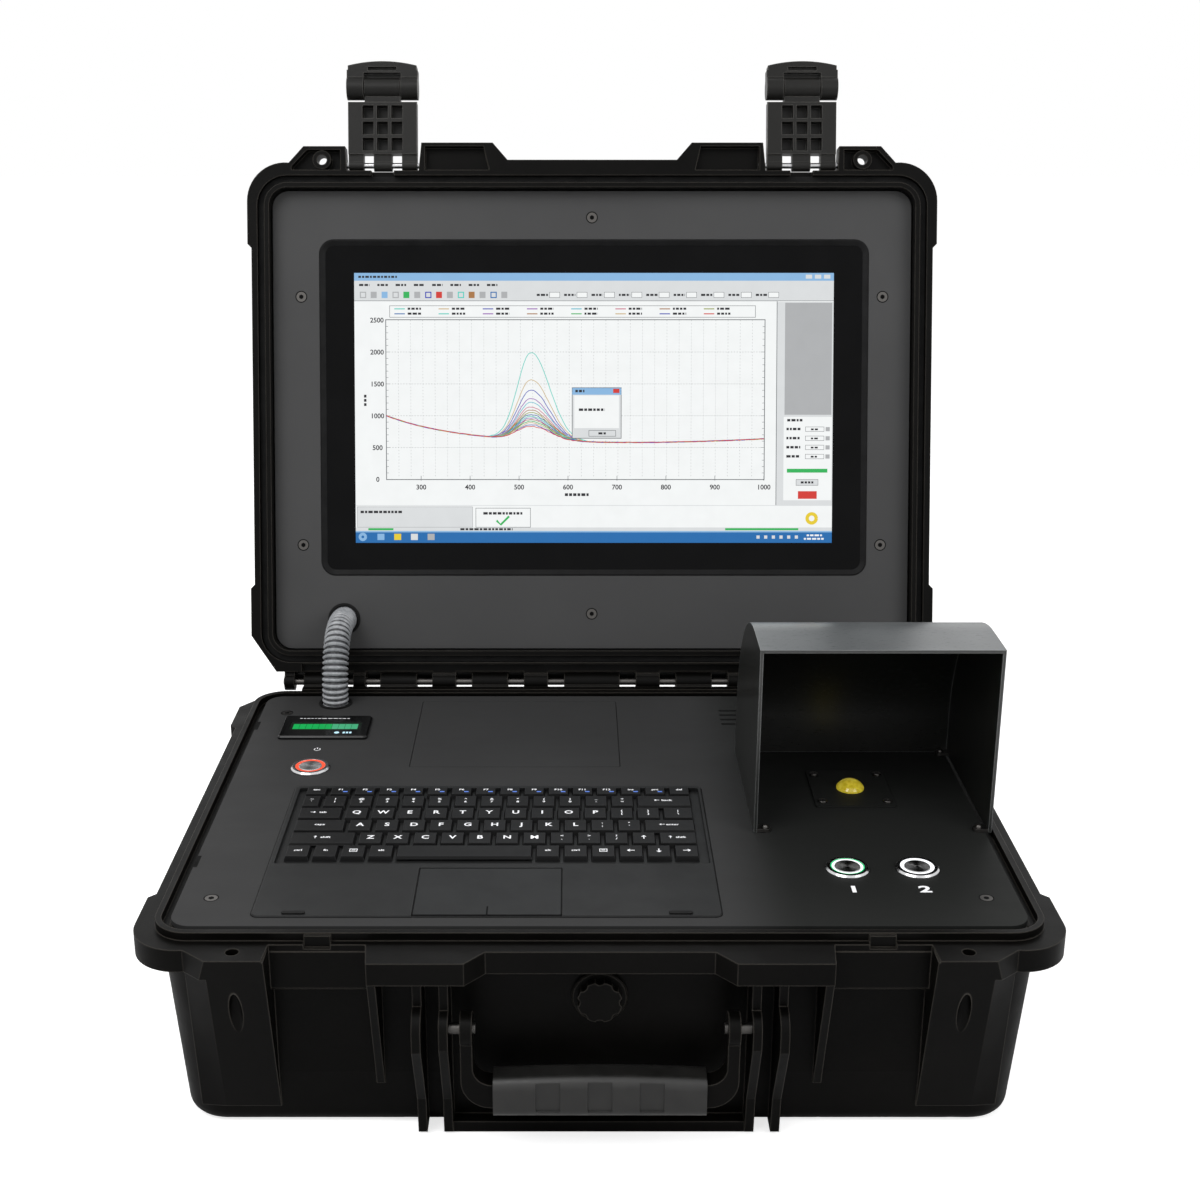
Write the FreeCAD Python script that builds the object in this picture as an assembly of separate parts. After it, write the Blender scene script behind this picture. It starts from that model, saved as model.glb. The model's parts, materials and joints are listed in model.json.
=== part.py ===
import FreeCAD, Part
import math
import os

# Fiber optic spectrometer built into a moulded carrying case, shown with its lid open.
# Millimetres. X runs to the right, Y to the back and Z up.
# The origin is at the bottom centre of the base, below the middle of the base panel.

Vector = FreeCAD.Vector
RIGHT = Vector(1, 0, 0)
BACK = Vector(0, 1, 0)
UP = Vector(0, 0, 1)
SIDES = (-1, 1)

# Base panel and the heights it sets
panel_width = 459.0
panel_depth = 328.0
panel_thickness = 3.0
panel_corner = 12.0
panel_top = 122.0
panel_above_flange = 4.0
panel_ledge = 10.0
ledge_thickness = 6.0
panel_edge_gap = 0.8

# Moulded walls, flanges and draft
wall = 3.5
skirt_height = 13.0
flange_plate = 4.0
flange_side = 15.5
flange_front = 20.0
flange_rear = 16.0
lid_flange_inset = 3.0
flange_corner = 27.0
rear_chamfer_x = 15.0
rear_chamfer_y = 26.0
body_side = 5.5
body_front = 12.0
body_rear = 8.0
body_front_draft = 12.0
body_side_draft = 6.0
body_rear_draft = 7.0
body_corner = 28.0
bottom_round = 8.0
base_bumper = 4.0
lid_bumper = 2.8
front_bumper_length = 30.0
rear_bumper_length = 34.0
ridge_gap = 5.0
ridge_width = 3.5
ridge_height = 4.8

# Front outline of both flanges: a straight middle, then shoulder, latch bay and ear on each side
centre_half_width = 60.0
shoulder_in = 70.5
shoulder_step = 12.0
bay_step = 7.5
bay_width = 54.0
ear_step = 9.5
ear_length = 29.5
ear_from_side = 40.5
padlock_eye_from_ear = 13.0
padlock_eye_radius = 3.5
padlock_boss = 3.0
front_wall_gap = 4.0
pilaster_foot_z = 12.0
pilaster_foot = 2.0
bay_skirt_drop = 13.0
rib_width = 4.5
rib_foot_z = 28.0
sill_depth = 8.5

# Lid
lid_open_angle = 105.4
hinge_from_flange = 7.7
hinge_z = 124.0
lid_height = 47.0
lid_panel_inset = 1.0
lid_panel_offset = 4.8
lid_panel_ledge = 8.0
lid_top_inset = 6.0
lid_round = 8.0
lid_body_inset = 3.0
lid_front_inset = 4.0
lid_recess_depth = 1.2
lid_recess_width = 330.0
lid_recess_length = 220.0
groove_clearance = 0.6
groove_depth = 6.5
lid_pocket_depth = 7.0
pocket_rim = 2.5
gasket_height = 1.6
fit_gap = 0.3
running_gap = 0.06

# Hinge
hinge_pin_radius = 2.5
knuckle_radius = 6.2
base_knuckle_spans = ((-20.0, 20.0), (60.4, 86.4), (126.2, 152.4), (177.0, 207.5))
lid_knuckle_spans = ((31.7, 48.9), (98.0, 115.0), (163.1, 171.9), (214.2, 221.6))
hinge_web_inner = 6.8
hinge_web_outer = 8.6
hinge_web_half_width = 221.6
hinge_web_from = 100.0
hinge_web_to = 180.0
rear_rail_half_width = 208.0
rear_rail_width = 5.8
rear_rail_front = 4.8

# Screws
screw_head_radius = 4.0
screw_shank_radius = 2.0
screw_length = 12.0
boss_radius = 6.0
boss_depth = 34.0
base_screw_from_side = 17.5
base_screw_from_front = 31.0
lid_screw_from_side = 20.0
lid_screw_y = 89.0
lid_middle_screw_front = 18.7
lid_middle_screw_back = 25.1

# Keyboard unit let into the base panel
keyboard_left = -187.2
keyboard_width = 253.3
keyboard_front = -154.7
keyboard_depth = 165.7
keyboard_rise = 1.0
keyboard_thickness = 6.0
keyboard_flange = 5.0
well_depth = 3.0
well_margin_side = 3.0
well_back = 7.5
well_length = 102.0
plate_sheet = 0.6
key_side_margin = 6.6
key_row_pitch = 16.8
key_gap = 1.7
key_rise = 0.7
key_taper = 0.9
function_row_depth = 12.4
keys_back = 8.2
key_travel = 1.2
stem_size = 3.0
touchpad_width = 80.3
touchpad_from_left = 86.6
touchpad_depth = 55.0
touchpad_thickness = 1.6
touchpad_recess = 0.2
touchpad_drop = 0.7

# Battery gauge, buttons, service cover and vents
gauge_x = -181.3
gauge_y = 104.5
gauge_width = 60.0
gauge_depth = 37.0
gauge_rise = 2.4
gauge_body_depth = 14.0
gauge_window_width = 48.0
gauge_window_depth = 12.0
gauge_lens_thickness = 1.2
button_bezel_radius = 12.5
button_barrel_radius = 11.0
button_bezel_height = 2.2
button_barrel_length = 24.0
button_ring_outer = 9.6
button_ring_inner = 7.7
button_cap_radius = 7.4
button_travel = 1.5
button_nut_radius = 14.0
button_nut_height = 3.0
power_button = (-182.3, 39.0)
uv_button = (141.0, -99.7)
vis_button = (180.4, -99.7)
cover_left = -119.3
cover_right = 16.7
cover_front = 41.5
cover_back = 154.0
cover_thickness = 1.5
cover_gap = 0.4
vent_left = 87.5
vent_length = 40.0
vent_width = 3.2
vent_pitch = 8.0
vent_front = 113.0
vent_count = 4

# Sample area and its light hood
sample_x = 159.0
sample_y = 7.3
sample_plate_width = 49.0
sample_plate_depth = 53.0
sample_plate_thickness = 1.0
sample_screw_pitch = 40.0
sample_screw_radius = 1.6
dome_radius = 8.6
dome_height = 6.0
probe_radius = 6.0
probe_length = 44.0
hood_left = 92.7
hood_width = 140.5
hood_front = 53.5
hood_depth = 120.5
hood_height = 115.0
hood_sheet = 2.0
hood_arc_radius = 87.0
hood_seat_gap = 0.2
stud_foot_length = 8.5
stud_foot_width = 7.0
stud_foot_thickness = 2.0
stud_pin_radius = 1.5
stud_head_radius = 1.9

# Display in the lid
display_x = 1.5
display_from_hinge = 197.0
glass_width = 385.0
glass_height = 232.0
glass_corner = 6.0
glass_thickness = 2.0
glass_recess = 0.8
bezel_band = 4.5
bezel_rise = 0.6
bezel_flange = 5.0
module_width = 360.0
module_height = 212.0
module_depth = 9.0

# Latches
latch_width = 48.6
latch_pivot_behind = 3.0
latch_arm_length = 54.0
latch_lever_length = 18.0
latch_thickness = 10.0
latch_back_thickness = 4.5
latch_barrel_radius = 4.2
latch_pin_radius = 2.0
lug_radius = 9.2
lug_width = 12.0
lug_flare = 0.8
tail_clearance = 0.5
latch_rail = 10.2
latch_rib = 2.4
latch_foot_slot = 7.0
lever_crown = 3.0

# Carry handle, its brackets and the purge valve
handle_ahead = 4.0
handle_pivot_z = 75.0
handle_half_width = 73.5
handle_arm_thickness = 6.5
handle_arm_depth = 12.0
handle_eye_radius = 9.0
handle_bottom_z = 30.0
handle_core_height = 14.0
handle_corner = 16.0
handle_inner_corner = 10.0
grip_half_length = 56.5
grip_cover = 4.5
grip_back_cover = 3.0
grip_front_cover = 4.0
grip_round = 6.0
grip_bulge = 1.5
grip_notch_pitch = 27.5
grip_notch_width = 12.8
grip_notch_depth = 1.3
handle_pin_radius = 3.0
inner_fin_in = 79.5
outer_fin_in = 93.5
fin_thickness = 5.0
inner_fin_round = 9.0
outer_fin_round = 11.5
fin_foot_reach = 10.0
sill_height = 6.5
sill_side = 2.0
valve_z = 83.0
valve_flange_radius = 15.0
valve_flange_height = 3.0
valve_knob_radius = 12.0
valve_knob_height = 5.0
valve_lobes = 8
valve_stem_radius = 5.0
valve_nut_radius = 10.0

# Hose between the base and the lid
hose_radius = 9.25
hose_hole_radius = 10.75
hose_x = -180.5
hose_y = 150.5
hose_lid_x = -179.3
hose_lid_from_hinge = 45.0
grommet_lip = 0.8

# Inner modules
spectrometer_size = (104.0, 84.0, 42.0)
lamp_size = (46.0, 62.0, 46.0)
battery_size = (150.0, 84.0, 52.0)
board_size = (170.0, 110.0, 1.6)
standoff_height = 8.0
fan_size = 40.0
fan_depth = 20.0
fibre_radius = 1.8

# Places along X that follow from the sizes above
base_flange_width = panel_width + 2 * flange_side
lid_flange_width = base_flange_width - 2 * lid_flange_inset
lid_panel_width = panel_width - 2 * lid_panel_inset
body_top_half_width = panel_width / 2 + body_side
body_bottom_half_width = body_top_half_width - body_side_draft
ear_out = base_flange_width / 2 - ear_from_side
bay_out = ear_out - ear_length
shoulder_out = bay_out - bay_width
padlock_eye_x = ear_out - padlock_eye_from_ear
latch_x = bay_out - bay_width / 2 + 0.5
base_screw_x = panel_width / 2 - base_screw_from_side
lid_screw_x = lid_panel_width / 2 - lid_screw_from_side
touchpad_left = keyboard_left + touchpad_from_left
keys_left = keyboard_left + key_side_margin
keys_width = keyboard_width - 2 * key_side_margin

# Places along Y that follow, all given towards the front or the back as positive lengths
half_panel_y = panel_depth / 2
centre_front = half_panel_y + flange_front
shoulder_front = centre_front + shoulder_step
bay_front = centre_front - bay_step
ear_front = centre_front + ear_step
flange_back = half_panel_y + flange_rear
body_front_top = half_panel_y + body_front
body_front_bottom = body_front_top - body_front_draft
body_back_top = half_panel_y + body_rear
body_back_bottom = body_back_top - body_rear_draft
front_wall = half_panel_y + front_wall_gap
base_screw_y = half_panel_y - base_screw_from_front
hinge_y = flange_back + hinge_from_flange
handle_pivot_y = centre_front + handle_ahead
fin_foot_front = body_front_bottom + fin_foot_reach
latch_pivot_y = centre_front - latch_pivot_behind

# Heights that follow
flange_top = panel_top - panel_above_flange
skirt_bottom = flange_top - skirt_height
panel_bottom = panel_top - panel_thickness
lid_flange_top = flange_top + skirt_height
lid_top = flange_top + lid_height
lid_panel_face = hinge_z + lid_panel_offset
lid_panel_back = lid_panel_face + panel_thickness
hinge_line = Vector(0, hinge_y, hinge_z)
keyboard_top = panel_top + keyboard_rise
well_floor = keyboard_top - well_depth
plate_top = well_floor + plate_sheet
key_top = keyboard_top + key_rise

solids_written = {}


# Shared construction

def box(x0, x1, y0, y1, z0, z1):
    return Part.makeBox(x1 - x0, y1 - y0, z1 - z0, Vector(x0, y0, z0))


def rod(radius, start, direction, length):
    return Part.makeCylinder(radius, length, start, direction)


def polygon(points):
    return Part.makePolygon(points + [points[0]])


def rounded_rectangle(x0, x1, y0, y1, radius, z):
    if radius <= 0:
        return polygon([Vector(x0, y0, z), Vector(x1, y0, z), Vector(x1, y1, z), Vector(x0, y1, z)])
    corners = ((x1, y0, -90), (x1, y1, 0), (x0, y1, 90), (x0, y0, 180))
    edges = []
    last = Vector(x0 + radius, y0, z)
    first = last
    for x, y, start_angle in corners:
        centre = Vector(x - math.copysign(radius, x - (x0 + x1) / 2),
                        y - math.copysign(radius, y - (y0 + y1) / 2), z)
        arc_points = []
        for angle in (start_angle, start_angle + 45, start_angle + 90):
            turn = math.radians(angle)
            arc_points.append(centre + Vector(radius * math.cos(turn), radius * math.sin(turn), 0))
        if (arc_points[0] - last).Length > 1e-6:
            edges.append(Part.LineSegment(last, arc_points[0]).toShape())
        edges.append(Part.Arc(*arc_points).toShape())
        last = arc_points[2]
    if (first - last).Length > 1e-6:
        edges.append(Part.LineSegment(last, first).toShape())
    return Part.Wire(edges)


def prism(wire, height):
    return Part.Face(wire).extrude(Vector(0, 0, height))


def rounded_plate(x0, x1, y0, y1, radius, z0, z1):
    return prism(rounded_rectangle(x0, x1, y0, y1, radius, z0), z1 - z0)


def drafted(lower, upper):
    return Part.makeLoft([lower, upper], True, True)


def side_profile(points, x0, x1):
    face = Part.Face(polygon([Vector(x0, y, z) for y, z in points]))
    return face.extrude(Vector(x1 - x0, 0, 0))


def joined(shapes):
    result = shapes[0]
    if len(shapes) > 1:
        result = result.fuse(shapes[1:])
    return result.removeSplitter()


def less(shape, tools):
    return shape.cut(tools)


def mirrored(shape):
    return shape.mirror(Vector(0, 0, 0), RIGHT)


def both_sides(shapes):
    return shapes + [mirrored(shape) for shape in shapes]


def rounded_edges(shape, radius, chosen):
    edges = [edge for edge in shape.Edges if chosen(edge)]
    return shape.makeFillet(radius, edges)


def chamfered_edges(shape, size, chosen):
    edges = [edge for edge in shape.Edges if chosen(edge)]
    return shape.makeChamfer(size, edges)


def lies_at_height(z):
    return lambda edge: abs(edge.BoundBox.ZMin - z) < 0.01 and abs(edge.BoundBox.ZMax - z) < 0.01


def opened(shape):
    """Turn a lid piece from its closed place to the open one."""
    turned = shape.copy()
    turned.rotate(hinge_line, RIGHT, -lid_open_angle)
    return turned


def write(name, shape):
    pieces = shape if isinstance(shape, list) else [shape]
    solids = []
    for piece in pieces:
        solids.extend(piece.Solids)
    result = solids[0] if len(solids) == 1 else Part.makeCompound(solids)
    for solid in solids:
        if not solid.isValid() or solid.Volume < 0.1:
            print("CHECK", name, "valid", solid.isValid(), "volume", solid.Volume)
    result.exportStep("parts/" + name + ".step")
    solids_written[name] = len(solids)


def route_tube(points, radius):
    """Round tube along straight runs joined by tangent arcs."""
    edges = []
    start = points[0]
    for before, corner, after in zip(points, points[1:], points[2:]):
        inward = (before - corner).normalize()
        outward = (after - corner).normalize()
        turn = math.pi - inward.getAngle(outward)
        reach = 0.45 * min((before - corner).Length, (after - corner).Length)
        bend = reach / math.tan(turn / 2)
        first = corner + inward * reach
        last = corner + outward * reach
        towards_middle = (inward + outward).normalize()
        centre_distance = bend / math.cos(turn / 2)
        middle = corner + towards_middle * (centre_distance - bend)
        edges.append(Part.LineSegment(start, first).toShape())
        edges.append(Part.Arc(first, middle, last).toShape())
        print("bend radius", round(bend, 1))
        start = last
    edges.append(Part.LineSegment(start, points[-1]).toShape())
    path = Part.Wire(edges)
    section = Part.Wire([Part.Circle(points[0], points[1] - points[0], radius).toShape()])
    tube = path.makePipeShell([section], True, False)
    expected = math.pi * radius ** 2 * path.Length
    print("tube length", round(path.Length, 1), "volume share", round(tube.Volume / expected, 4))
    return tube


# Flange outline, shared by base and lid

def flange_outline(half_width, bumper, inset, z):
    """Outline with ears, latch bays and shoulders along the front, and side bumpers near the corners."""
    side = half_width - inset
    bumper_x = side + bumper
    corner_x = half_width - flange_corner
    corner_y = -centre_front + 2.0 + flange_corner
    corner_radius = flange_corner - inset
    back = flange_back - inset
    side_back = flange_back - rear_chamfer_y
    front_half = [
        (centre_half_width + inset / 2, -centre_front + inset),
        (shoulder_in + inset / 2, -shoulder_front + inset),
        (shoulder_out - inset, -shoulder_front + inset),
        (shoulder_out + 2.0 - inset, -bay_front + inset),
        (bay_out - 1.0 + inset, -bay_front + inset),
        (bay_out + inset, -ear_front + inset),
        (ear_out - inset / 2, -ear_front + inset),
        (corner_x, corner_y - corner_radius),
    ]
    side_half = [
        (bumper_x, corner_y),
        (bumper_x, corner_y + front_bumper_length),
        (side, corner_y + front_bumper_length + bumper),
        (side, side_back - rear_bumper_length - bumper),
        (bumper_x, side_back - rear_bumper_length),
        (bumper_x, side_back),
        (side - rear_chamfer_x, back),
    ]
    reach = corner_radius + bumper
    bend = (reach ** 2 + corner_radius ** 2) / (2 * reach)
    slant = math.sqrt(0.5) * bend
    half = []
    for start, end in zip(front_half, front_half[1:]):
        half.append(Part.LineSegment(Vector(*start, z), Vector(*end, z)).toShape())
    half.append(Part.Arc(Vector(*front_half[-1], z), Vector(bumper_x - bend + slant, corner_y - slant, z),
                         Vector(*side_half[0], z)).toShape())
    for start, end in zip(side_half, side_half[1:]):
        half.append(Part.LineSegment(Vector(*start, z), Vector(*end, z)).toShape())
    edges = both_sides(half)
    for x, y in (front_half[0], side_half[-1]):
        edges.append(Part.LineSegment(Vector(-x, y, z), Vector(x, y, z)).toShape())
    return Part.Wire(Part.__sortEdges__(edges))


def base_outline(inset, z):
    return flange_outline(base_flange_width / 2, base_bumper, inset, z)


def lid_outline(inset, z):
    return flange_outline(lid_flange_width / 2, lid_bumper, inset, z)


def padlock_eyes(z0, z1):
    eye = rod(padlock_eye_radius, Vector(padlock_eye_x, -centre_front, z0), UP, z1 - z0)
    return both_sides([eye])


def around_panel(width, depth, grow, radius, z0, z1):
    x = width / 2 + grow
    y = depth / 2 + grow
    return rounded_plate(-x, x, -y, y, radius + grow, z0, z1)


# Base shell

def base_outer_body():
    top_z = flange_top - flange_plate
    slope = (body_front_top - body_front_bottom) / skirt_bottom
    widen = (body_top_half_width - body_bottom_half_width) / skirt_bottom
    lean = (body_back_top - body_back_bottom) / skirt_bottom
    half = body_bottom_half_width + widen * top_z
    lower = rounded_rectangle(-body_bottom_half_width, body_bottom_half_width,
                              -body_front_bottom, body_back_bottom, body_corner - 4, 0)
    upper = rounded_rectangle(-half, half, -body_front_bottom - slope * top_z,
                              body_back_bottom + lean * top_z, body_corner, top_z)
    body = drafted(lower, upper)
    return rounded_edges(body, bottom_round, lies_at_height(0))


def base_cavity():
    top_z = flange_top + panel_above_flange - panel_thickness - ledge_thickness
    lower = rounded_rectangle(-body_bottom_half_width + wall, body_bottom_half_width - wall,
                              -body_front_bottom + wall, body_back_bottom - wall, body_corner - 6, wall)
    upper = rounded_rectangle(-body_top_half_width + wall, body_top_half_width - wall,
                              -front_wall + wall, body_back_top - wall, body_corner - wall, top_z)
    hollow = drafted(lower, upper)
    mouth = around_panel(panel_width, panel_depth, -panel_ledge, panel_corner, top_z - 1, panel_top)
    behind = [(-body_front_bottom + 6, 40), (-body_front_bottom, 40),
              (-body_front_top + wall, skirt_bottom), (-body_front_bottom + 6, skirt_bottom)]
    pockets = both_sides([side_profile(behind, bay_out + wall + 2, body_bottom_half_width - 12)])
    keyboard_notch = box(keyboard_left - keyboard_flange - fit_gap,
                         keyboard_left + keyboard_width + keyboard_flange + fit_gap,
                         keyboard_front - keyboard_flange - fit_gap, 0, top_z - 1, panel_top)
    hose_notch = rod(hose_hole_radius + fit_gap, Vector(hose_x, hose_y, top_z - 4), UP, ledge_thickness + 8)
    valve_seat = rod(valve_nut_radius + 1, Vector(0, -front_wall + wall, valve_z), BACK, 8)
    return [hollow, mouth, keyboard_notch, hose_notch, valve_seat] + pockets


def front_recesses():
    """The front between the ears is set back to an upright wall that fades out into the draft below."""
    reach = shoulder_front + 10
    return [box(-bay_out + 1, bay_out - 1, -reach, -front_wall, -1, skirt_bottom)]


def ear_pilasters():
    """Thick front corners that run from the ears down into the drafted wall."""
    corner_x = base_flange_width / 2 - flange_corner
    inner_x = bay_out - 1
    behind = -body_front_bottom + 4
    upper = [(inner_x, behind), (inner_x, -ear_front), (ear_out, -ear_front),
             (corner_x, -centre_front + 2.0), (corner_x, behind)]
    foot = -body_front_bottom - pilaster_foot
    lower = [(inner_x, behind), (inner_x, foot), (ear_out, foot), (corner_x, foot + 1.5),
             (corner_x, behind)]
    wires = [polygon([Vector(x, y, pilaster_foot_z) for x, y in lower]),
             polygon([Vector(x, y, flange_top - 1) for x, y in upper])]
    return both_sides([drafted(*wires)])


def ear_slopes():
    """Space in front of the ears, so that their faces lean back like the wall below."""
    ahead = -ear_front - 4
    lean = [(-ear_front, flange_top), (-body_front_bottom - pilaster_foot, pilaster_foot_z),
            (ahead, pilaster_foot_z), (ahead, flange_top)]
    return both_sides([side_profile(lean, bay_out - 2, ear_out + 6)])


def bay_skirts():
    """Plain face below each latch bay, deeper than the rest of the skirt."""
    low = skirt_bottom - bay_skirt_drop
    profile = [(-front_wall + 1, low - 6), (-bay_front, low), (-bay_front, skirt_bottom + 1),
               (-front_wall + 1, skirt_bottom + 1)]
    return both_sides([side_profile(profile, shoulder_out - 2, bay_out)])


def shoulder_ribs():
    """Slanted rib at the bay side of each shoulder."""
    profile = [(-front_wall + 1, rib_foot_z), (-front_wall, rib_foot_z),
               (-shoulder_front + 1, skirt_bottom + 1),
               (-front_wall + 1, skirt_bottom + 1)]
    return both_sides([side_profile(profile, shoulder_out - rib_width, shoulder_out)])


def handle_sill():
    half = inner_fin_in + sill_side
    return box(-half, half, -body_front_bottom - sill_depth, -body_front_bottom + 6, 0, sill_height)


def fin_outline(round_radius, foot):
    """Side outline of a bracket: a round top about the handle pin and a slanted foot."""
    web = -handle_pivot_y + 1
    top = handle_pivot_z + round_radius - 2
    disc = rod(round_radius, Vector(0, -handle_pivot_y, handle_pivot_z + 1), RIGHT, fin_thickness)
    front = -handle_pivot_y - round_radius
    plate = side_profile([(-front_wall + 1, skirt_bottom + 1), (web, skirt_bottom + 1), (web, top),
                          (-handle_pivot_y, handle_pivot_z + 1),
                          (front, handle_pivot_z + 1), (front, handle_pivot_z - 8)] + foot,
                         0, fin_thickness)
    return joined([disc, plate])


def handle_fins():
    inner_foot = [(-fin_foot_front - 3, 24), (-fin_foot_front, 1), (-body_front_bottom + 2, 1)]
    outer_foot = [(-fin_foot_front - 3, 24), (-fin_foot_front, 1), (-body_front_bottom + 3, 1)]
    inner = fin_outline(inner_fin_round, inner_foot)
    inner.translate(Vector(inner_fin_in, 0, 0))
    outer = fin_outline(outer_fin_round, outer_foot)
    outer.translate(Vector(outer_fin_in, 0, 0))
    return both_sides([inner, outer])


def base_knuckles():
    foot = flange_back - 4
    gusset = [(foot, skirt_bottom + 3), (foot, flange_top), (hinge_y - knuckle_radius, hinge_z),
              (hinge_y + knuckle_radius, hinge_z), (hinge_y + 2, skirt_bottom + 8),
              (hinge_y - 6, skirt_bottom + 3)]
    shapes = []
    for x0, x1 in base_knuckle_spans:
        pieces = [joined([side_profile(gusset, x0, x1),
                          rod(knuckle_radius, Vector(x0, hinge_y, hinge_z), RIGHT, x1 - x0)])]
        shapes += both_sides(pieces) if x0 > 0 else pieces
    return shapes


def rear_rail(grow):
    """Low rail along the back of the base flange, in front of the hinge; grow gives its notch in the lid."""
    y0 = flange_back - rear_rail_front - grow
    return box(-rear_rail_half_width - grow, rear_rail_half_width + grow, y0,
               y0 + rear_rail_width + 2 * grow,
               flange_top - 1, flange_top + ridge_height + grow)


def base_screw_bosses():
    shapes = []
    low = panel_bottom - boss_depth
    for y in (-base_screw_y, base_screw_y):
        post = rod(boss_radius, Vector(base_screw_x, y, low), UP, boss_depth)
        web = box(base_screw_x, body_top_half_width - 1, y - 2, y + 2, low, skirt_bottom)
        shapes += [post, web]
    return both_sides(shapes)


def latch_tongues():
    """Locating tongue on the ridge above each latch bay, and the notch in front of it."""
    x0 = latch_x - 7
    x1 = latch_x + 7
    ridge_front = half_panel_y + ridge_gap + ridge_width
    tongue = box(x0, x1, -ridge_front - 2, -ridge_front + 1, flange_top - 1,
                 flange_top + ridge_height - 0.8)
    notch = box(x0, x1, -bay_front - 1, -ridge_front - 2, flange_top - 2.5, flange_top + 1)
    return both_sides([tongue]), both_sides([notch])


def base_shell():
    body = less(base_outer_body(), front_recesses())
    solid_flange = prism(base_outline(0, skirt_bottom), skirt_height)
    under = prism(base_outline(3.0, skirt_bottom - 1), skirt_height - flange_plate + 1)
    inner_block = rounded_plate(-body_top_half_width, body_top_half_width, -front_wall - 2,
                                body_back_top, body_corner, skirt_bottom - 1, flange_top)
    flange = less(solid_flange, [less(under, [inner_block])])
    pad = around_panel(panel_width, panel_depth, panel_edge_gap, panel_corner, flange_top, panel_bottom)
    ridge = around_panel(panel_width, panel_depth, ridge_gap + ridge_width, panel_corner, flange_top,
                         flange_top + ridge_height)
    ridge = less(ridge, [around_panel(panel_width, panel_depth, ridge_gap, panel_corner, flange_top,
                                      panel_top + 5)])
    front = bay_skirts() + shoulder_ribs() + ear_pilasters() + [handle_sill()]
    shell = less(joined([body, flange, pad, ridge] + front), base_cavity() + ear_slopes())
    tongues, notches = latch_tongues()
    shell = joined([shell] + handle_fins() + base_knuckles() + base_screw_bosses() + tongues
                   + [rear_rail(0)])
    cuts = notches + padlock_eyes(skirt_bottom - 45, flange_top + 5)
    cuts.append(rod(hinge_pin_radius, Vector(-base_flange_width, hinge_y, hinge_z), RIGHT,
                    2 * base_flange_width))
    cuts += both_sides([rod(handle_pin_radius, Vector(0, -handle_pivot_y, handle_pivot_z), RIGHT,
                            inner_fin_in + fin_thickness + 1)])
    cuts.append(rod(valve_stem_radius, Vector(0, -front_wall - 1, valve_z), BACK, 3 * wall))
    for x, y in base_screw_places():
        cuts.append(rod(screw_shank_radius, Vector(x, y, panel_top - screw_length), UP, screw_length))
    return less(shell, cuts)


# Base panel and what is let into it

def countersunk_screw(x, y, face, outward, length):
    """Countersunk socket screw whose head is flush with the face; outward is +1 or -1 along Z."""
    depth = screw_head_radius - screw_shank_radius
    axis = Vector(0, 0, -outward)
    head = Part.makeCone(screw_head_radius, screw_shank_radius, depth, Vector(x, y, face), axis)
    shank = rod(screw_shank_radius, Vector(x, y, face), axis, length)
    socket = rod(1.3, Vector(x, y, face + outward * 0.5), axis, 1.9)
    return less(joined([head, shank]), [socket])


def screw_seat(x, y, face, outward):
    depth = screw_head_radius - screw_shank_radius
    axis = Vector(0, 0, -outward)
    cone = Part.makeCone(screw_head_radius, screw_shank_radius, depth, Vector(x, y, face), axis)
    return joined([cone, rod(screw_shank_radius, Vector(x, y, face), axis, panel_thickness)])


def base_screw_places():
    return [(x, y) for x in (-base_screw_x, base_screw_x) for y in (-base_screw_y, base_screw_y)]


def stud_places():
    """Pin centres of the hood's four feet, and which way the wall lies from each."""
    inside = hood_sheet + stud_foot_length - stud_foot_width / 2
    half = stud_foot_width / 2
    ys = (-hood_front + half, -hood_front + hood_depth - hood_sheet - half)
    return [(hood_left + inside, y, -1) for y in ys] + [(hood_left + hood_width - inside, y, 1) for y in ys]


def base_panel():
    plate = around_panel(panel_width, panel_depth, 0, panel_corner, panel_bottom, panel_top)
    below = panel_bottom - 1
    above = panel_top + 1
    cuts = [screw_seat(x, y, panel_top, 1) for x, y in base_screw_places()]
    cuts.append(rounded_plate(keyboard_left - fit_gap, keyboard_left + keyboard_width + fit_gap,
                              keyboard_front - fit_gap,
                              keyboard_front + keyboard_depth + fit_gap, 4.0 + fit_gap, below, above))
    cuts.append(rounded_plate(cover_left, cover_right, cover_front, cover_back, 1.5,
                              panel_top - cover_thickness, above))
    for x, y in (power_button, uv_button, vis_button):
        cuts.append(rod(button_barrel_radius + fit_gap / 2, Vector(x, y, below), UP, panel_thickness + 2))
    inner_x = gauge_width / 2 - 3
    inner_y = gauge_depth / 2 - 3
    cuts.append(box(gauge_x - inner_x, gauge_x + inner_x, gauge_y - inner_y, gauge_y + inner_y, below,
                    above))
    cuts.append(rod(hose_hole_radius, Vector(hose_x, hose_y, below), UP, panel_thickness + 2))
    cuts.append(rod(probe_radius, Vector(sample_x, sample_y, below), UP, panel_thickness + 2))
    for index in range(vent_count):
        y = vent_front + index * vent_pitch
        cuts.append(rounded_plate(vent_left, vent_left + vent_length, y - vent_width / 2,
                                  y + vent_width / 2,
                                  vent_width / 2 - 0.05, below, above))
    for x, y, _ in stud_places():
        cuts.append(rod(stud_pin_radius + fit_gap, Vector(x, y, below), UP, panel_thickness + 2))
    for x, y in sample_screw_places():
        cuts.append(rod(sample_screw_radius, Vector(x, y, below), UP, panel_thickness + 2))
    return less(plate, cuts)


def service_cover():
    return rounded_plate(cover_left + cover_gap, cover_right - cover_gap, cover_front + cover_gap,
                         cover_back - cover_gap,
                         1.2, panel_top - cover_thickness, panel_top)


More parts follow.
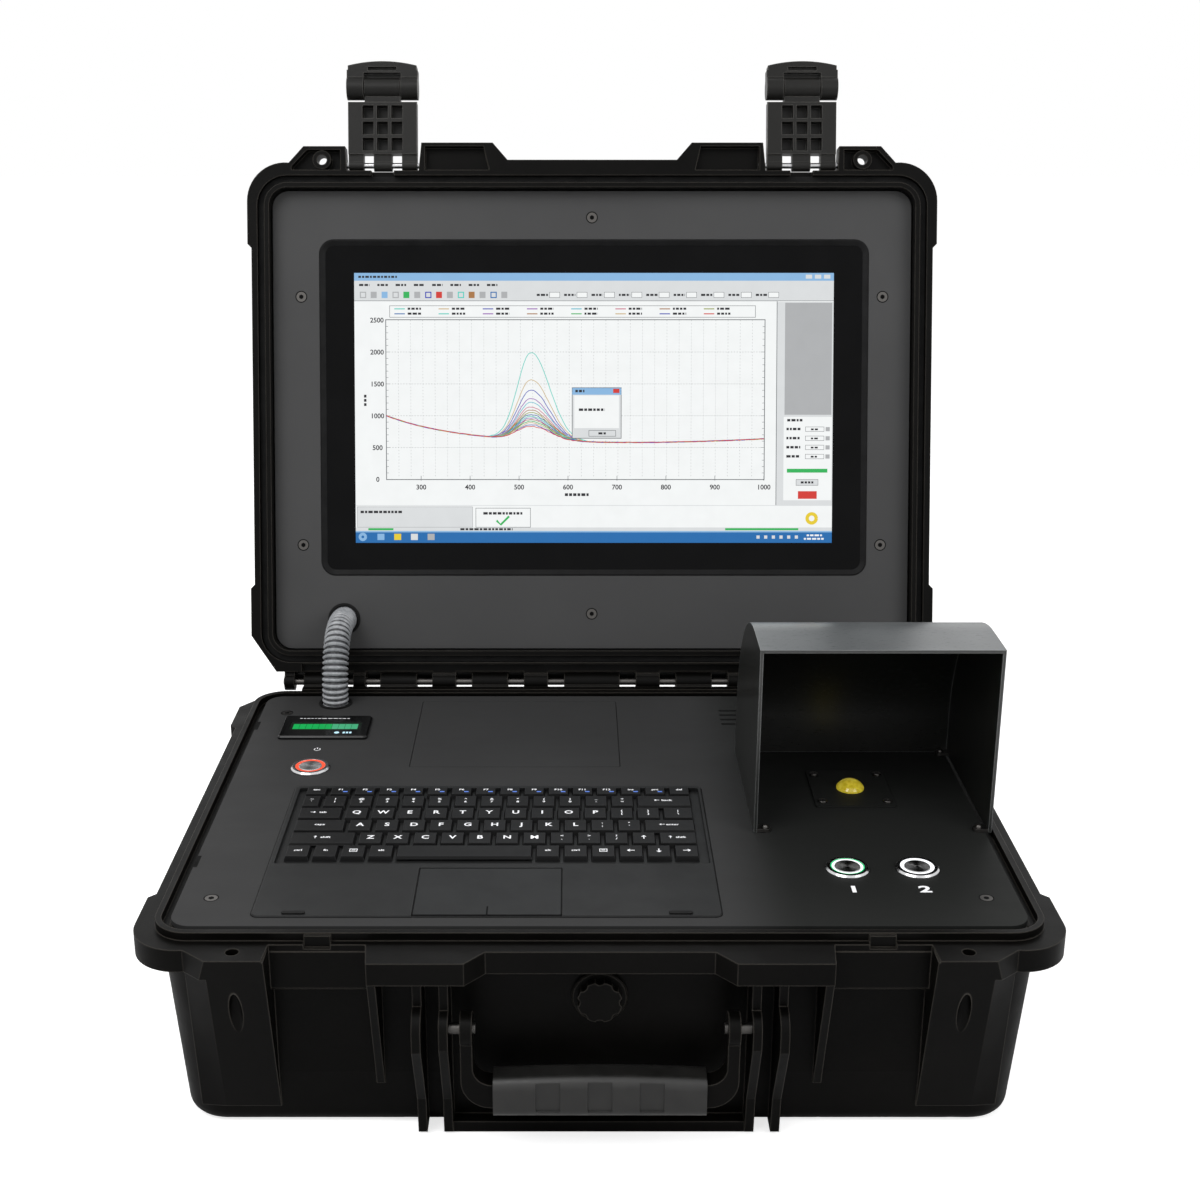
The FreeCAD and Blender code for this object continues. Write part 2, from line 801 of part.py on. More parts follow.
def keyboard_tray():
    x0, x1 = keyboard_left, keyboard_left + keyboard_width
    y0, y1 = keyboard_front, keyboard_front + keyboard_depth
    block = rounded_plate(x0, x1, y0, y1, 4.0, keyboard_top - keyboard_thickness, keyboard_top)
    block = chamfered_edges(block, 0.6, lies_at_height(keyboard_top))
    flange = rounded_plate(x0 - keyboard_flange, x1 + keyboard_flange, y0 - keyboard_flange,
                           y1 + keyboard_flange,
                           4.0, keyboard_top - keyboard_thickness, panel_bottom)
    well = rounded_plate(x0 + well_margin_side, x1 - well_margin_side + 1, well_back - well_length,
                         well_back,
                         2.0, well_floor, keyboard_top + 1)
    pad = box(touchpad_left - fit_gap, touchpad_left + touchpad_width + fit_gap, keyboard_front - 1,
              keyboard_front + touchpad_depth + fit_gap,
              keyboard_top - touchpad_recess - touchpad_thickness - touchpad_drop, keyboard_top + 1)
    front_lip = box(touchpad_left - fit_gap - 0.5, touchpad_left + touchpad_width + fit_gap + 0.5,
                    keyboard_front,
                    keyboard_front + 0.6, keyboard_top - keyboard_thickness, keyboard_top - 0.7)
    tray = less(joined([block, flange]), [well, pad])
    tray = joined([tray, front_lip])
    stems = []
    for x, y in moving_key_centres():
        reach = stem_size / 2 + fit_gap
        stems.append(box(x - reach, x + reach, y - reach, y + reach, keyboard_top - keyboard_thickness - 1,
                         well_floor + 1))
    return less(tray, stems)


# Key rows as widths in key units, from the back row to the front row

key_rows = (
    (1,) * 16,
    (0.8,) + (1,) * 12 + (2.2,),
    (1.75,) + (1,) * 12 + (1.25,),
    (2,) + (1,) * 11 + (2,),
    (2.5,) + (1,) * 10 + (1, 1.5),
    (1,) * 4 + (5,) + (1,) * 6,
)


def last_key(row):
    return row, len(key_rows[row]) - 1


moving_keys = {
    "key_backspace": last_key(1),
    "key_enter": last_key(3),
    "key_shift_left": (len(key_rows) - 2, 0),
    "key_space": (len(key_rows) - 1, key_rows[-1].index(max(key_rows[-1]))),
}


def key_bounds(row, place):
    unit = keys_width / sum(key_rows[row])
    x0 = keys_left + unit * sum(key_rows[row][:place])
    x1 = x0 + unit * key_rows[row][place]
    if row == 0:
        y1 = keys_back
        y0 = y1 - function_row_depth
    else:
        y1 = keys_back - function_row_depth - (row - 1) * key_row_pitch
        y0 = y1 - key_row_pitch
    return x0 + key_gap / 2, x1 - key_gap / 2, y0 + key_gap / 2, y1 - key_gap / 2


def moving_key_centres():
    centres = []
    for row, place in moving_keys.values():
        x0, x1, y0, y1 = key_bounds(row, place)
        centres.append(((x0 + x1) / 2, (y0 + y1) / 2))
    return centres


def key_cap(row, place, bottom):
    x0, x1, y0, y1 = key_bounds(row, place)
    t = key_taper
    lower = rounded_rectangle(x0, x1, y0, y1, 0, bottom)
    upper = rounded_rectangle(x0 + t, x1 - t, y0 + t, y1 - t, 0, key_top)
    return drafted(lower, upper)


def still_keys():
    moving = set(moving_keys.values())
    caps = []
    for row, widths in enumerate(key_rows):
        for place in range(len(widths)):
            if (row, place) not in moving:
                caps.append(key_cap(row, place, plate_top))
    return caps


def moving_key(name):
    row, place = moving_keys[name]
    cap = key_cap(row, place, plate_top + key_travel + 0.1)
    x0, x1, y0, y1 = key_bounds(row, place)
    x = (x0 + x1) / 2
    y = (y0 + y1) / 2
    half = stem_size / 2
    stem = box(x - half, x + half, y - half, y + half, well_floor - 1.0, key_top - 1.0)
    return joined([cap, stem])


def keyboard_plate():
    sheet = rounded_plate(keyboard_left + well_margin_side,
                          keyboard_left + keyboard_width - well_margin_side + 1,
                          well_back - well_length, well_back, 2.0, well_floor, plate_top)
    holes = []
    for x, y in moving_key_centres():
        reach = stem_size / 2 + fit_gap
        holes.append(box(x - reach, x + reach, y - reach, y + reach, well_floor - 1, plate_top + 1))
    return less(sheet, holes)


def touchpad():
    top = keyboard_top - touchpad_recess
    pad = box(touchpad_left, touchpad_left + touchpad_width, keyboard_front + 0.9,
              keyboard_front + touchpad_depth,
              top - touchpad_thickness, top)
    middle = touchpad_left + touchpad_width / 2
    groove = box(middle - 0.25, middle + 0.25, keyboard_front, keyboard_front + 9, top - 0.4, top + 1)
    return less(pad, [groove])


def keyboard_feet():
    feet = []
    for x in (-164.3, 43.8):
        feet.append(rounded_plate(x - 6.4, x + 6.4, keyboard_front + 1.6, keyboard_front + 4.4, 1.3,
                                  keyboard_top, keyboard_top + 0.8))
    return feet


def gauge_housing():
    x0, x1 = gauge_x - gauge_width / 2, gauge_x + gauge_width / 2
    y0, y1 = gauge_y - gauge_depth / 2, gauge_y + gauge_depth / 2
    rim = rounded_plate(x0, x1, y0, y1, 2.5, panel_top, panel_top + gauge_rise)
    rim = chamfered_edges(rim, 1.0, lies_at_height(panel_top + gauge_rise))
    box_body = box(x0 + 3.3, x1 - 3.3, y0 + 3.3, y1 - 3.3, panel_top - gauge_body_depth, panel_top + 0.5)
    window = box(gauge_x - gauge_window_width / 2, gauge_x + gauge_window_width / 2,
                 gauge_y - gauge_window_depth / 2, gauge_y + gauge_window_depth / 2,
                 panel_top + gauge_rise - gauge_lens_thickness - 0.3, panel_top + 9)
    return less(joined([rim, box_body]), [window])


def gauge_lens():
    floor = panel_top + gauge_rise - gauge_lens_thickness - 0.3
    return box(gauge_x - gauge_window_width / 2, gauge_x + gauge_window_width / 2,
               gauge_y - gauge_window_depth / 2,
               gauge_y + gauge_window_depth / 2, floor, floor + gauge_lens_thickness)


def button_body(place):
    """Steel bezel with a threaded barrel, open at the top for the light ring and the cap."""
    x, y = place
    top = panel_top + button_bezel_height
    bezel = rod(button_bezel_radius, Vector(x, y, panel_top), UP, button_bezel_height)
    bezel = chamfered_edges(bezel, 1.0, lies_at_height(top))
    barrel = rod(button_barrel_radius, Vector(x, y, panel_top - button_barrel_length), UP,
                 button_barrel_length)
    pins = [box(x - 1, x + 1, y + d - 0.5, y + d + 0.5, panel_top - button_barrel_length - 5,
                panel_top - button_barrel_length + 1)
            for d in (-4, 4)]
    cup = rod(button_ring_outer, Vector(x, y, top - 3.2), UP, 6)
    well = rod(button_ring_inner, Vector(x, y, top - 6.0), UP, 8)
    return less(joined([bezel, barrel] + pins), [cup, well])


def light_ring(place):
    x, y = place
    top = panel_top + button_bezel_height
    ring = rod(button_ring_outer, Vector(x, y, top - 3.2), UP, 3.0)
    return less(ring, [rod(button_ring_inner, Vector(x, y, top - 5), UP, 8)])


def button_cap(place):
    x, y = place
    top = panel_top + button_bezel_height
    cap = rod(button_cap_radius, Vector(x, y, top - 6.0 + button_travel + 0.3), UP,
              6.0 - button_travel - 0.2)
    return rounded_edges(cap, 0.5, lies_at_height(top + 0.1))


def button_nuts():
    nuts = []
    for x, y in (power_button, uv_button, vis_button):
        points = []
        for corner in range(6):
            turn = math.radians(60 * corner)
            points.append(Vector(x + button_nut_radius * math.cos(turn),
                                 y + button_nut_radius * math.sin(turn),
                                 panel_bottom - button_nut_height))
        blank = prism(polygon(points), button_nut_height)
        nuts.append(less(blank, [rod(button_barrel_radius, Vector(x, y, panel_bottom - 9), UP, 18)]))
    return nuts


# Sample area

def sample_screw_places():
    half = sample_screw_pitch / 2
    return [(sample_x + i * half, sample_y + j * half) for i in SIDES for j in SIDES]


def sample_plate():
    plate = rounded_plate(sample_x - sample_plate_width / 2, sample_x + sample_plate_width / 2,
                          sample_y - sample_plate_depth / 2, sample_y + sample_plate_depth / 2, 1.5,
                          panel_top, panel_top + sample_plate_thickness)
    cuts = [rod(sample_screw_radius, Vector(x, y, panel_bottom), UP, 9) for x, y in sample_screw_places()]
    cuts.append(rod(probe_radius, Vector(sample_x, sample_y, panel_bottom), UP, 9))
    return less(plate, cuts)


def sample_plate_screws():
    screws = []
    top = panel_top + sample_plate_thickness
    for x, y in sample_screw_places():
        head = rod(sample_screw_radius * 1.7, Vector(x, y, top), UP, 1.4)
        head = rounded_edges(head, 0.6, lies_at_height(top + 1.4))
        shank = rod(sample_screw_radius, Vector(x, y, panel_bottom - 3), UP, top - panel_bottom + 3.2)
        screws.append(less(joined([head, shank]), [rod(0.9, Vector(x, y, top + 0.5), UP, 2)]))
    return screws


def sample_dome():
    """Low lens shaped window over the probe tip."""
    seat = panel_top + sample_plate_thickness
    sphere_radius = (dome_radius ** 2 + (dome_height - 1) ** 2) / (2 * (dome_height - 1))
    ball = Part.makeSphere(sphere_radius, Vector(sample_x, sample_y, seat + dome_height - sphere_radius))
    rim = rod(dome_radius, Vector(sample_x, sample_y, seat), UP, dome_height + 1)
    return ball.common(rim)


def sample_probe():
    tip = rod(probe_radius, Vector(sample_x, sample_y, panel_top + sample_plate_thickness - probe_length),
              UP, probe_length)
    collar = rod(probe_radius + 5, Vector(sample_x, sample_y, panel_bottom - 5), UP, 5)
    ferrule = rod(probe_radius - 2, Vector(sample_x, sample_y, panel_top - probe_length - 11), UP, 13)
    return joined([tip, collar, ferrule])


def hood_wire(inset, x):
    """Side outline of the light hood: flat top, large rear arc and upright back."""
    floor = panel_top + hood_seat_gap
    top = panel_top + hood_height - inset
    front = -hood_front
    back = -hood_front + hood_depth - inset
    radius = hood_arc_radius - inset
    centre_y = back - radius
    centre_z = top - radius
    half = math.sqrt(0.5) * radius
    low = floor - inset
    ahead = front - inset
    points = [Vector(x, ahead, low), Vector(x, ahead, top), Vector(x, centre_y, top)]
    arc = Part.Arc(points[2], Vector(x, centre_y + half, centre_z + half),
                   Vector(x, back, centre_z)).toShape()
    edges = [Part.LineSegment(points[0], points[1]).toShape(),
             Part.LineSegment(points[1], points[2]).toShape(), arc,
             Part.LineSegment(Vector(x, back, centre_z), Vector(x, back, low)).toShape(),
             Part.LineSegment(Vector(x, back, low), points[0]).toShape()]
    return Part.Wire(edges)


def sample_hood():
    outer = Part.Face(hood_wire(0, hood_left)).extrude(Vector(hood_width, 0, 0))
    inner = Part.Face(hood_wire(hood_sheet, hood_left
                                + hood_sheet)).extrude(Vector(hood_width - 2 * hood_sheet, 0, 0))
    return less(outer, [inner])


def hood_studs():
    """Feet inside the hood walls, each with a round end and a pin that drops into the panel."""
    studs = []
    low = panel_top + hood_seat_gap
    half = stud_foot_width / 2
    for x, y, wall_side in stud_places():
        wall_x = x + wall_side * (stud_foot_length - half)
        tab = box(min(x, wall_x), max(x, wall_x), y - half, y + half, low, low + stud_foot_thickness)
        end = rod(half, Vector(x, y, low), UP, stud_foot_thickness)
        head = Part.makeSphere(stud_head_radius, Vector(x, y, low + stud_foot_thickness))
        head = less(head, [box(x - 9, x + 9, y - 9, y + 9, low - 9, low)])
        pin = rod(stud_pin_radius, Vector(x, y, panel_bottom + 0.2), UP, panel_thickness)
        studs.append(joined([tab, end, head, pin]))
    return studs


# Lid, modelled closed

def lid_crown():
    """Upper part of the lid with its latch bays, and a shallow recess in the middle of its outside."""
    half = body_top_half_width - lid_body_inset
    front = body_front_top - lid_front_inset
    lower = rounded_rectangle(-half, half, -front, body_back_top, body_corner, flange_top + 5)
    upper = rounded_rectangle(-half + lid_top_inset, half - lid_top_inset, -front + lid_top_inset,
                              body_back_top - lid_top_inset, body_corner - 2, lid_top)
    crown = rounded_edges(drafted(lower, upper), lid_round, lies_at_height(lid_top))
    recess = rounded_plate(-lid_recess_width / 2, lid_recess_width / 2, -lid_recess_length / 2,
                           lid_recess_length / 2,
                           20, lid_top - lid_recess_depth, lid_top + 1)
    bay = box(shoulder_out + 2, bay_out - 1, -shoulder_front, -bay_front, flange_top - 1, lid_top)
    return less(crown, both_sides([bay]) + [recess])


def lid_hollow():
    """Space behind the lid panel and the ledge that the panel lies on."""
    half = body_top_half_width - lid_body_inset
    front = body_front_top - lid_front_inset
    seat = around_panel(lid_panel_width, panel_depth, panel_edge_gap, panel_corner, flange_top - 1,
                        lid_panel_back)
    low = rounded_rectangle(-lid_panel_width / 2 + lid_panel_ledge, lid_panel_width / 2 - lid_panel_ledge,
                            -half_panel_y + lid_panel_ledge, half_panel_y - lid_panel_ledge,
                            14, lid_panel_back)
    top_half = half - lid_top_inset - wall - 4
    high = rounded_rectangle(-top_half, top_half, -front + lid_top_inset + wall + 4,
                             body_back_top - lid_top_inset - wall - 4, 18, lid_top - wall)
    return [seat, drafted(low, high)]


def lid_front_pockets():
    """Moulded pockets in the rim: one in each shoulder, and one round each padlock eye."""
    low = flange_top - 1
    height = lid_pocket_depth + 1
    shoulder = polygon([Vector(shoulder_in + pocket_rim + 4, -shoulder_front + pocket_rim, low),
                        Vector(shoulder_out - pocket_rim, -shoulder_front + pocket_rim, low),
                        Vector(shoulder_out - pocket_rim, -bay_front - 0.5,
                               low), Vector(shoulder_in + pocket_rim, -bay_front - 0.5, low)])
    corner_x = lid_flange_width / 2 - flange_corner
    ear = polygon([Vector(bay_out + pocket_rim + 1, -ear_front + pocket_rim, low),
                   Vector(ear_out - pocket_rim, -ear_front + pocket_rim, low),
                   Vector(corner_x - 2, -centre_front + pocket_rim + 2,
                          low), Vector(corner_x - 2, -bay_front - 0.5, low),
                   Vector(bay_out + pocket_rim + 1, -bay_front - 0.5, low)])
    boss = rod(padlock_eye_radius + padlock_boss, Vector(padlock_eye_x, -centre_front, low), UP, height)
    return both_sides([prism(shoulder, height), less(prism(ear, height), [boss])])


def lid_shell():
    flange = prism(lid_outline(0, flange_top), skirt_height)
    groove = around_panel(lid_panel_width, panel_depth, ridge_gap + ridge_width + groove_clearance,
                          panel_corner,
                          flange_top - 1, flange_top + groove_depth)
    land = around_panel(lid_panel_width, panel_depth, ridge_gap - groove_clearance, panel_corner,
                        flange_top - 2, lid_top)
    shell = less(joined([flange, lid_crown()]), lid_hollow() + lid_front_pockets() + [less(groove, [land])])
    bosses = [rod(boss_radius - 1, Vector(x, y, lid_panel_back), UP, lid_top - wall - lid_panel_back + 0.5)
              for x, y in lid_screw_places()]
    shell = joined([shell] + bosses + lid_knuckles() + [hinge_web()])
    tongue_room = box(latch_x - 8, latch_x + 8, -half_panel_y - ridge_gap - ridge_width - 4,
                      -half_panel_y - ridge_gap,
                      flange_top - 1, flange_top + groove_depth)
    holes = padlock_eyes(flange_top - 5,
                         lid_top) + [rear_rail(groove_clearance)] + both_sides([tongue_room])
    holes.append(rod(hinge_pin_radius + running_gap, Vector(-base_flange_width, hinge_y, hinge_z), RIGHT,
                     2 * base_flange_width))
    holes += both_sides([latch_pin()])
    for x, y in lid_screw_places():
        holes.append(rod(screw_shank_radius, Vector(x, y, lid_panel_back - 1), UP, screw_length - 1))
    return less(shell, holes)


def lid_screw_places():
    places = [(x, y) for x in (-lid_screw_x, lid_screw_x) for y in (-lid_screw_y, lid_screw_y)]
    return places + [(0, -half_panel_y + lid_middle_screw_front), (0, half_panel_y - lid_middle_screw_back)]


def lid_knuckles():
    foot = flange_back - 4
    gusset = [(foot, hinge_z - 2), (hinge_y - knuckle_radius + 1.5, hinge_z - 4),
              (hinge_y, hinge_z - knuckle_radius + 1),
              (hinge_y + knuckle_radius, hinge_z), (hinge_y + 2,
                                                    lid_flange_top), (hinge_y - 4, lid_flange_top + 4),
              (foot - 4, lid_flange_top + 4)]
    shapes = []
    for x0, x1 in lid_knuckle_spans:
        piece = joined([side_profile(gusset, x0, x1),
                        rod(knuckle_radius, Vector(x0, hinge_y, hinge_z), RIGHT, x1 - x0)])
        shapes += both_sides([piece])
    return shapes


def hinge_web():
    """Curved web behind the knuckles that joins them and closes the gaps between them."""
    points = []
    for radius, angles in ((hinge_web_outer, (hinge_web_from, hinge_web_to)),
                           (hinge_web_inner, (hinge_web_to, hinge_web_from))):
        middle = math.radians((hinge_web_from + hinge_web_to) / 2)
        for angle in (math.radians(angles[0]), middle, math.radians(angles[1])):
            points.append(Vector(-hinge_web_half_width, hinge_y + radius * math.cos(angle),
                                 hinge_z + radius * math.sin(angle)))
    edges = [Part.Arc(*points[:3]).toShape(), Part.LineSegment(points[2], points[3]).toShape(),
             Part.Arc(*points[3:]).toShape(), Part.LineSegment(points[5], points[0]).toShape()]
    return Part.Face(Part.Wire(edges)).extrude(Vector(2 * hinge_web_half_width, 0, 0))


def lid_gasket():
    top = flange_top + groove_depth
    outer = around_panel(lid_panel_width, panel_depth, ridge_gap + ridge_width + groove_clearance,
                         panel_corner, top - gasket_height, top)
    return less(outer, [around_panel(lid_panel_width, panel_depth, ridge_gap - groove_clearance,
                                     panel_corner, flange_top, lid_top)])


def display_bounds(grow):
    x0 = display_x - glass_width / 2 - grow
    x1 = display_x + glass_width / 2 + grow
    y = hinge_y - display_from_hinge
    return x0, x1, y - glass_height / 2 - grow, y + glass_height / 2 + grow


def lid_panel():
    plate = around_panel(lid_panel_width, panel_depth, 0, panel_corner, lid_panel_face, lid_panel_back)
    cuts = [screw_seat(x, y, lid_panel_face, -1) for x, y in lid_screw_places()]
    cuts.append(rounded_plate(*display_bounds(bezel_band), glass_corner + bezel_band, lid_panel_face - 1,
                              lid_panel_back + 1))
    cuts.append(rod(hose_hole_radius, Vector(hose_lid_x, hinge_y - hose_lid_from_hinge, lid_panel_face - 1),
                    UP, panel_thickness + 2))
    return less(plate, cuts)


def display_bezel():
    front = lid_panel_face - bezel_rise
    rim = rounded_plate(*display_bounds(bezel_band), glass_corner + bezel_band, front, lid_panel_back)
    rim = chamfered_edges(rim, bezel_rise - 0.1, lies_at_height(front))
    flange = rounded_plate(*display_bounds(bezel_band + bezel_flange), glass_corner + 6, lid_panel_back,
                           lid_panel_back + 2)
    glass_face = lid_panel_face + glass_recess
    slope = drafted(rounded_rectangle(*display_bounds(bezel_band - 1.2), glass_corner + bezel_band - 1.2,
                                      front - 0.01),
                    rounded_rectangle(*display_bounds(0), glass_corner, glass_face))
    through = rounded_plate(*display_bounds(0), glass_corner, glass_face - 0.5, lid_panel_back + 3)
    return less(joined([rim, flange]), [slope, through])


def display_glass():
    face = lid_panel_face + glass_recess
    return rounded_plate(*display_bounds(0), glass_corner, face, face + glass_thickness)


def display_module():
    y = hinge_y - display_from_hinge
    back_of_glass = lid_panel_face + glass_recess + glass_thickness
    block = rounded_plate(display_x - module_width / 2, display_x + module_width / 2, y - module_height / 2,
                          y + module_height / 2, 3, back_of_glass, back_of_glass + module_depth)
    board = box(display_x - 60, display_x + 60, y - 40, y + 40, back_of_glass + module_depth - 0.1,
                back_of_glass + module_depth + 8)
    return joined([block, board])


# Latches, modelled on the closed lid and turned up in line with it

def latch_pin():
    start = shoulder_out - pocket_rim
    return rod(latch_pin_radius, Vector(start, -latch_pivot_y, hinge_z + 0.5), RIGHT,
               bay_out + pocket_rim + 1 - start)


def latch_arm():
    """Latch arm: a pivot barrel, two rails, a grid of moulded pockets and a tail that carries the lever."""
    z = hinge_z + 0.5
    half = latch_width / 2
    x0 = latch_x - half
    x1 = latch_x + half
    pivot = -latch_pivot_y
    end = pivot - latch_arm_length
    low = z - latch_thickness + latch_back_thickness
    high = z + latch_back_thickness
    shoulder = end + lug_radius + 1.2
    slab = box(x0, x1, shoulder, pivot - 7.2, low, high)
    neck = box(x0, x1, pivot - 8, pivot, z - 3.6, z + 3.6)
    barrel = rod(latch_barrel_radius, Vector(x0, pivot, z), RIGHT, latch_width)
    half_tail = half - lug_width - tail_clearance + lug_flare
    tail = box(latch_x - half_tail, latch_x + half_tail, end, shoulder + 1, low + 1, high)
    tail_barrel = rod(lug_radius - 2.0, Vector(latch_x - half_tail, end, z - 1.0), RIGHT, 2 * half_tail)
    arm = joined([slab, neck, barrel, tail, tail_barrel])
    cuts = [rod(latch_pin_radius + running_gap, Vector(x0 - 1, pivot, z), RIGHT, latch_width + 2),
            rod(latch_pin_radius + running_gap, Vector(x0 - 1, end, z), RIGHT, latch_width + 2)]
    for side in SIDES:
        middle = latch_x + side * 10
        reach = latch_foot_slot / 2
        cuts.append(box(middle - reach, middle + reach, pivot - 7.6, pivot + 9, z - 9, z + 9))
    pocket_width = (latch_width - 2 * latch_rail - 2 * latch_rib) / 3
    slab_start = pivot - 7.2 - latch_rib
    pocket_length = (slab_start - shoulder - 3 * latch_rib) / 3
    for column in range(3):
        for row in range(3):
            left = x0 + latch_rail + column * (pocket_width + latch_rib)
            back = slab_start - row * (pocket_length + latch_rib)
            cuts.append(box(left, left + pocket_width, back - pocket_length, back, low - 1, high - 2.5))
    return less(arm, cuts)


def latch_lever():
    """Pull lever with two round side lugs and a curved end."""
    z = hinge_z + 0.5
    half = latch_width / 2
    x0 = latch_x - half
    x1 = latch_x + half
    pivot = -latch_pivot_y - latch_arm_length
    tip = pivot - latch_lever_length
    low = z - latch_thickness + latch_back_thickness
    high = z + latch_back_thickness
    inner = pivot - lug_radius - 0.8
    edges = [Part.LineSegment(Vector(x0, inner, low), Vector(x0, tip + lever_crown, low)).toShape(),
             Part.Arc(Vector(x0, tip + lever_crown, low), Vector(latch_x, tip, low),
                      Vector(x1, tip + lever_crown, low)).toShape(),
             Part.LineSegment(Vector(x1, tip + lever_crown, low), Vector(x1, inner, low)).toShape(),
             Part.LineSegment(Vector(x1, inner, low), Vector(x0, inner, low)).toShape()]
    slab = prism(Part.Wire(edges), latch_thickness)
    pieces = [slab, rod(latch_pin_radius, Vector(x0, pivot, z), RIGHT, latch_width)]
    for left in (x0 - lug_flare, x1 - lug_width + lug_flare):
        pieces.append(rod(lug_radius - 1.0, Vector(left, pivot, z - 1.0), RIGHT, lug_width))
        pieces.append(box(left, left + lug_width, inner - 2, pivot, low, high))
    lever = joined(pieces)
    scoop = box(x0 + latch_rail + 4, x1 - latch_rail - 4, tip + lever_crown + 1, inner - 1.5, low - 1,
                low + 3)
    return less(lever, [scoop])


# Handle and valve

def handle_frame():
    outer = handle_half_width
    inner = handle_half_width - handle_arm_thickness
    y0 = -handle_pivot_y - handle_arm_depth / 2
    bottom = handle_bottom_z
    top = handle_bottom_z + handle_core_height
    round_out = handle_corner
    round_in = handle_inner_corner

    def point(x, z):
        return Vector(x, y0, z)

    slant = math.sqrt(0.5)
    edges = []
    for side in SIDES:
        s = side
        edges.append(Part.LineSegment(point(s * outer, handle_pivot_z),
                                      point(s * outer, bottom + round_out)).toShape())
        edges.append(Part.Arc(point(s * outer, bottom + round_out),
                              point(s * (outer - round_out + round_out * slant),
                                    bottom + round_out - round_out * slant),
                              point(s * (outer - round_out), bottom)).toShape())
        edges.append(Part.LineSegment(point(s * inner, handle_pivot_z),
                                      point(s * inner, top + round_in)).toShape())
        edges.append(Part.Arc(point(s * inner, top + round_in),
                              point(s * (inner - round_in + round_in * slant),
                                    top + round_in - round_in * slant),
                              point(s * (inner - round_in), top)).toShape())
        edges.append(Part.LineSegment(point(s * outer, handle_pivot_z),
                                      point(s * inner, handle_pivot_z)).toShape())
    edges.append(Part.LineSegment(point(-outer + round_out, bottom),
                                  point(outer - round_out, bottom)).toShape())
    edges.append(Part.LineSegment(point(-inner + round_in, top), point(inner - round_in, top)).toShape())
    wire = Part.Wire(Part.__sortEdges__(edges))
    bow = Part.Face(wire).extrude(Vector(0, handle_arm_depth, 0))
    eyes = both_sides([rod(handle_eye_radius, Vector(inner, -handle_pivot_y, handle_pivot_z), RIGHT,
                           handle_arm_thickness)])
    bores = both_sides([rod(handle_pin_radius + running_gap,
                            Vector(inner - 1, -handle_pivot_y,
                                   handle_pivot_z), RIGHT, handle_arm_thickness + 2)])
    return less(joined([bow] + eyes), bores)


def handle_grip():
    """Soft grip moulded over the crossbar, thicker in the middle, with three flats let into its front."""
    y0 = -handle_pivot_y - handle_arm_depth / 2
    y1 = y0 + handle_arm_depth
    z0 = handle_bottom_z
    z1 = z0 + handle_core_height
    sections = []
    for x, grow in ((-grip_half_length, 0), (-grip_half_length / 2, grip_bulge * 0.7), (0, grip_bulge),
                    (grip_half_length / 2, grip_bulge * 0.7), (grip_half_length, 0)):
        section = rounded_rectangle(y0 - grip_front_cover, y1 + grip_back_cover, z0 - grip_cover,
                                    z1 + grip_cover + grow, grip_round, 0)
        matrix = FreeCAD.Matrix(0, 0, 1, x, 1, 0, 0, 0, 0, 1, 0, 0, 0, 0, 0, 1)
        sections.append(section.transformGeometry(matrix))
    sleeve = Part.makeLoft(sections, True, False)
    core = box(-grip_half_length - 1, grip_half_length + 1, y0, y1, z0, z1)
    cuts = [core]
    notch_back = y0 - grip_front_cover + grip_notch_depth
    for x in (-grip_notch_pitch, 0.0, grip_notch_pitch):
        cuts.append(box(x - grip_notch_width / 2, x + grip_notch_width / 2, notch_back - 9, notch_back, z0,
                        z1 + 2 * grip_cover + grip_bulge))
    return less(sleeve, cuts)


def handle_pins():
    start = handle_half_width - handle_arm_thickness - 1.5
    pin = rod(handle_pin_radius, Vector(start, -handle_pivot_y, handle_pivot_z), RIGHT,
              inner_fin_in + fin_thickness - start)
    return both_sides([pin])


def valve_body():
    front = -front_wall - valve_flange_height
    flange = rod(valve_flange_radius, Vector(0, front, valve_z), BACK, valve_flange_height)
    flange = chamfered_edges(flange, 0.8, lambda edge: edge.BoundBox.YMax < front + 0.01)
    stem = rod(valve_stem_radius, Vector(0, front, valve_z), BACK, valve_flange_height + wall + 6)
    nut = rod(valve_nut_radius, Vector(0, -front_wall + wall, valve_z), BACK, 4)
    socket = rod(valve_stem_radius - 2, Vector(0, front - 1, valve_z), BACK, 5)
    return less(joined([flange, stem, nut]), [socket])


def valve_knob():
    front = -front_wall - valve_flange_height - fit_gap
    knob = rod(valve_knob_radius, Vector(0, front - valve_knob_height, valve_z), BACK, valve_knob_height)
    flutes = []
    for lobe in range(valve_lobes):
        turn = 2 * math.pi * lobe / valve_lobes
        reach = valve_knob_radius + 1.6
        centre = Vector(reach * math.cos(turn), front - valve_knob_height - 1,
                        valve_z + reach * math.sin(turn))
        flutes.append(rod(3.0, centre, BACK, valve_knob_height + 2))
    stub = rod(valve_stem_radius - 2 - running_gap, Vector(0, front, valve_z), BACK, 3.5)
    return joined([less(knob, flutes), stub])


# Hose

def lid_point(x, from_hinge, outward):
    """Point of the open lid: distance from the hinge along the lid, and outward from the hinge plane."""
    angle = math.radians(lid_open_angle)
    y = hinge_y - from_hinge * math.cos(angle) + outward * math.sin(angle)
    z = hinge_z + from_hinge * math.sin(angle) + outward * math.cos(angle)
    return Vector(x, y, z)


def hose_points():
    return [Vector(hose_x, hose_y, 99.0), Vector(hose_x, hose_y, 121.0), Vector(-180.4, 151.8, 143.5),
            Vector(-179.9, 167.4, 165.6),
            lid_point(hose_lid_x, hose_lid_from_hinge, lid_panel_offset - 13.7),
            lid_point(hose_lid_x, hose_lid_from_hinge, lid_panel_offset + 9.3)]


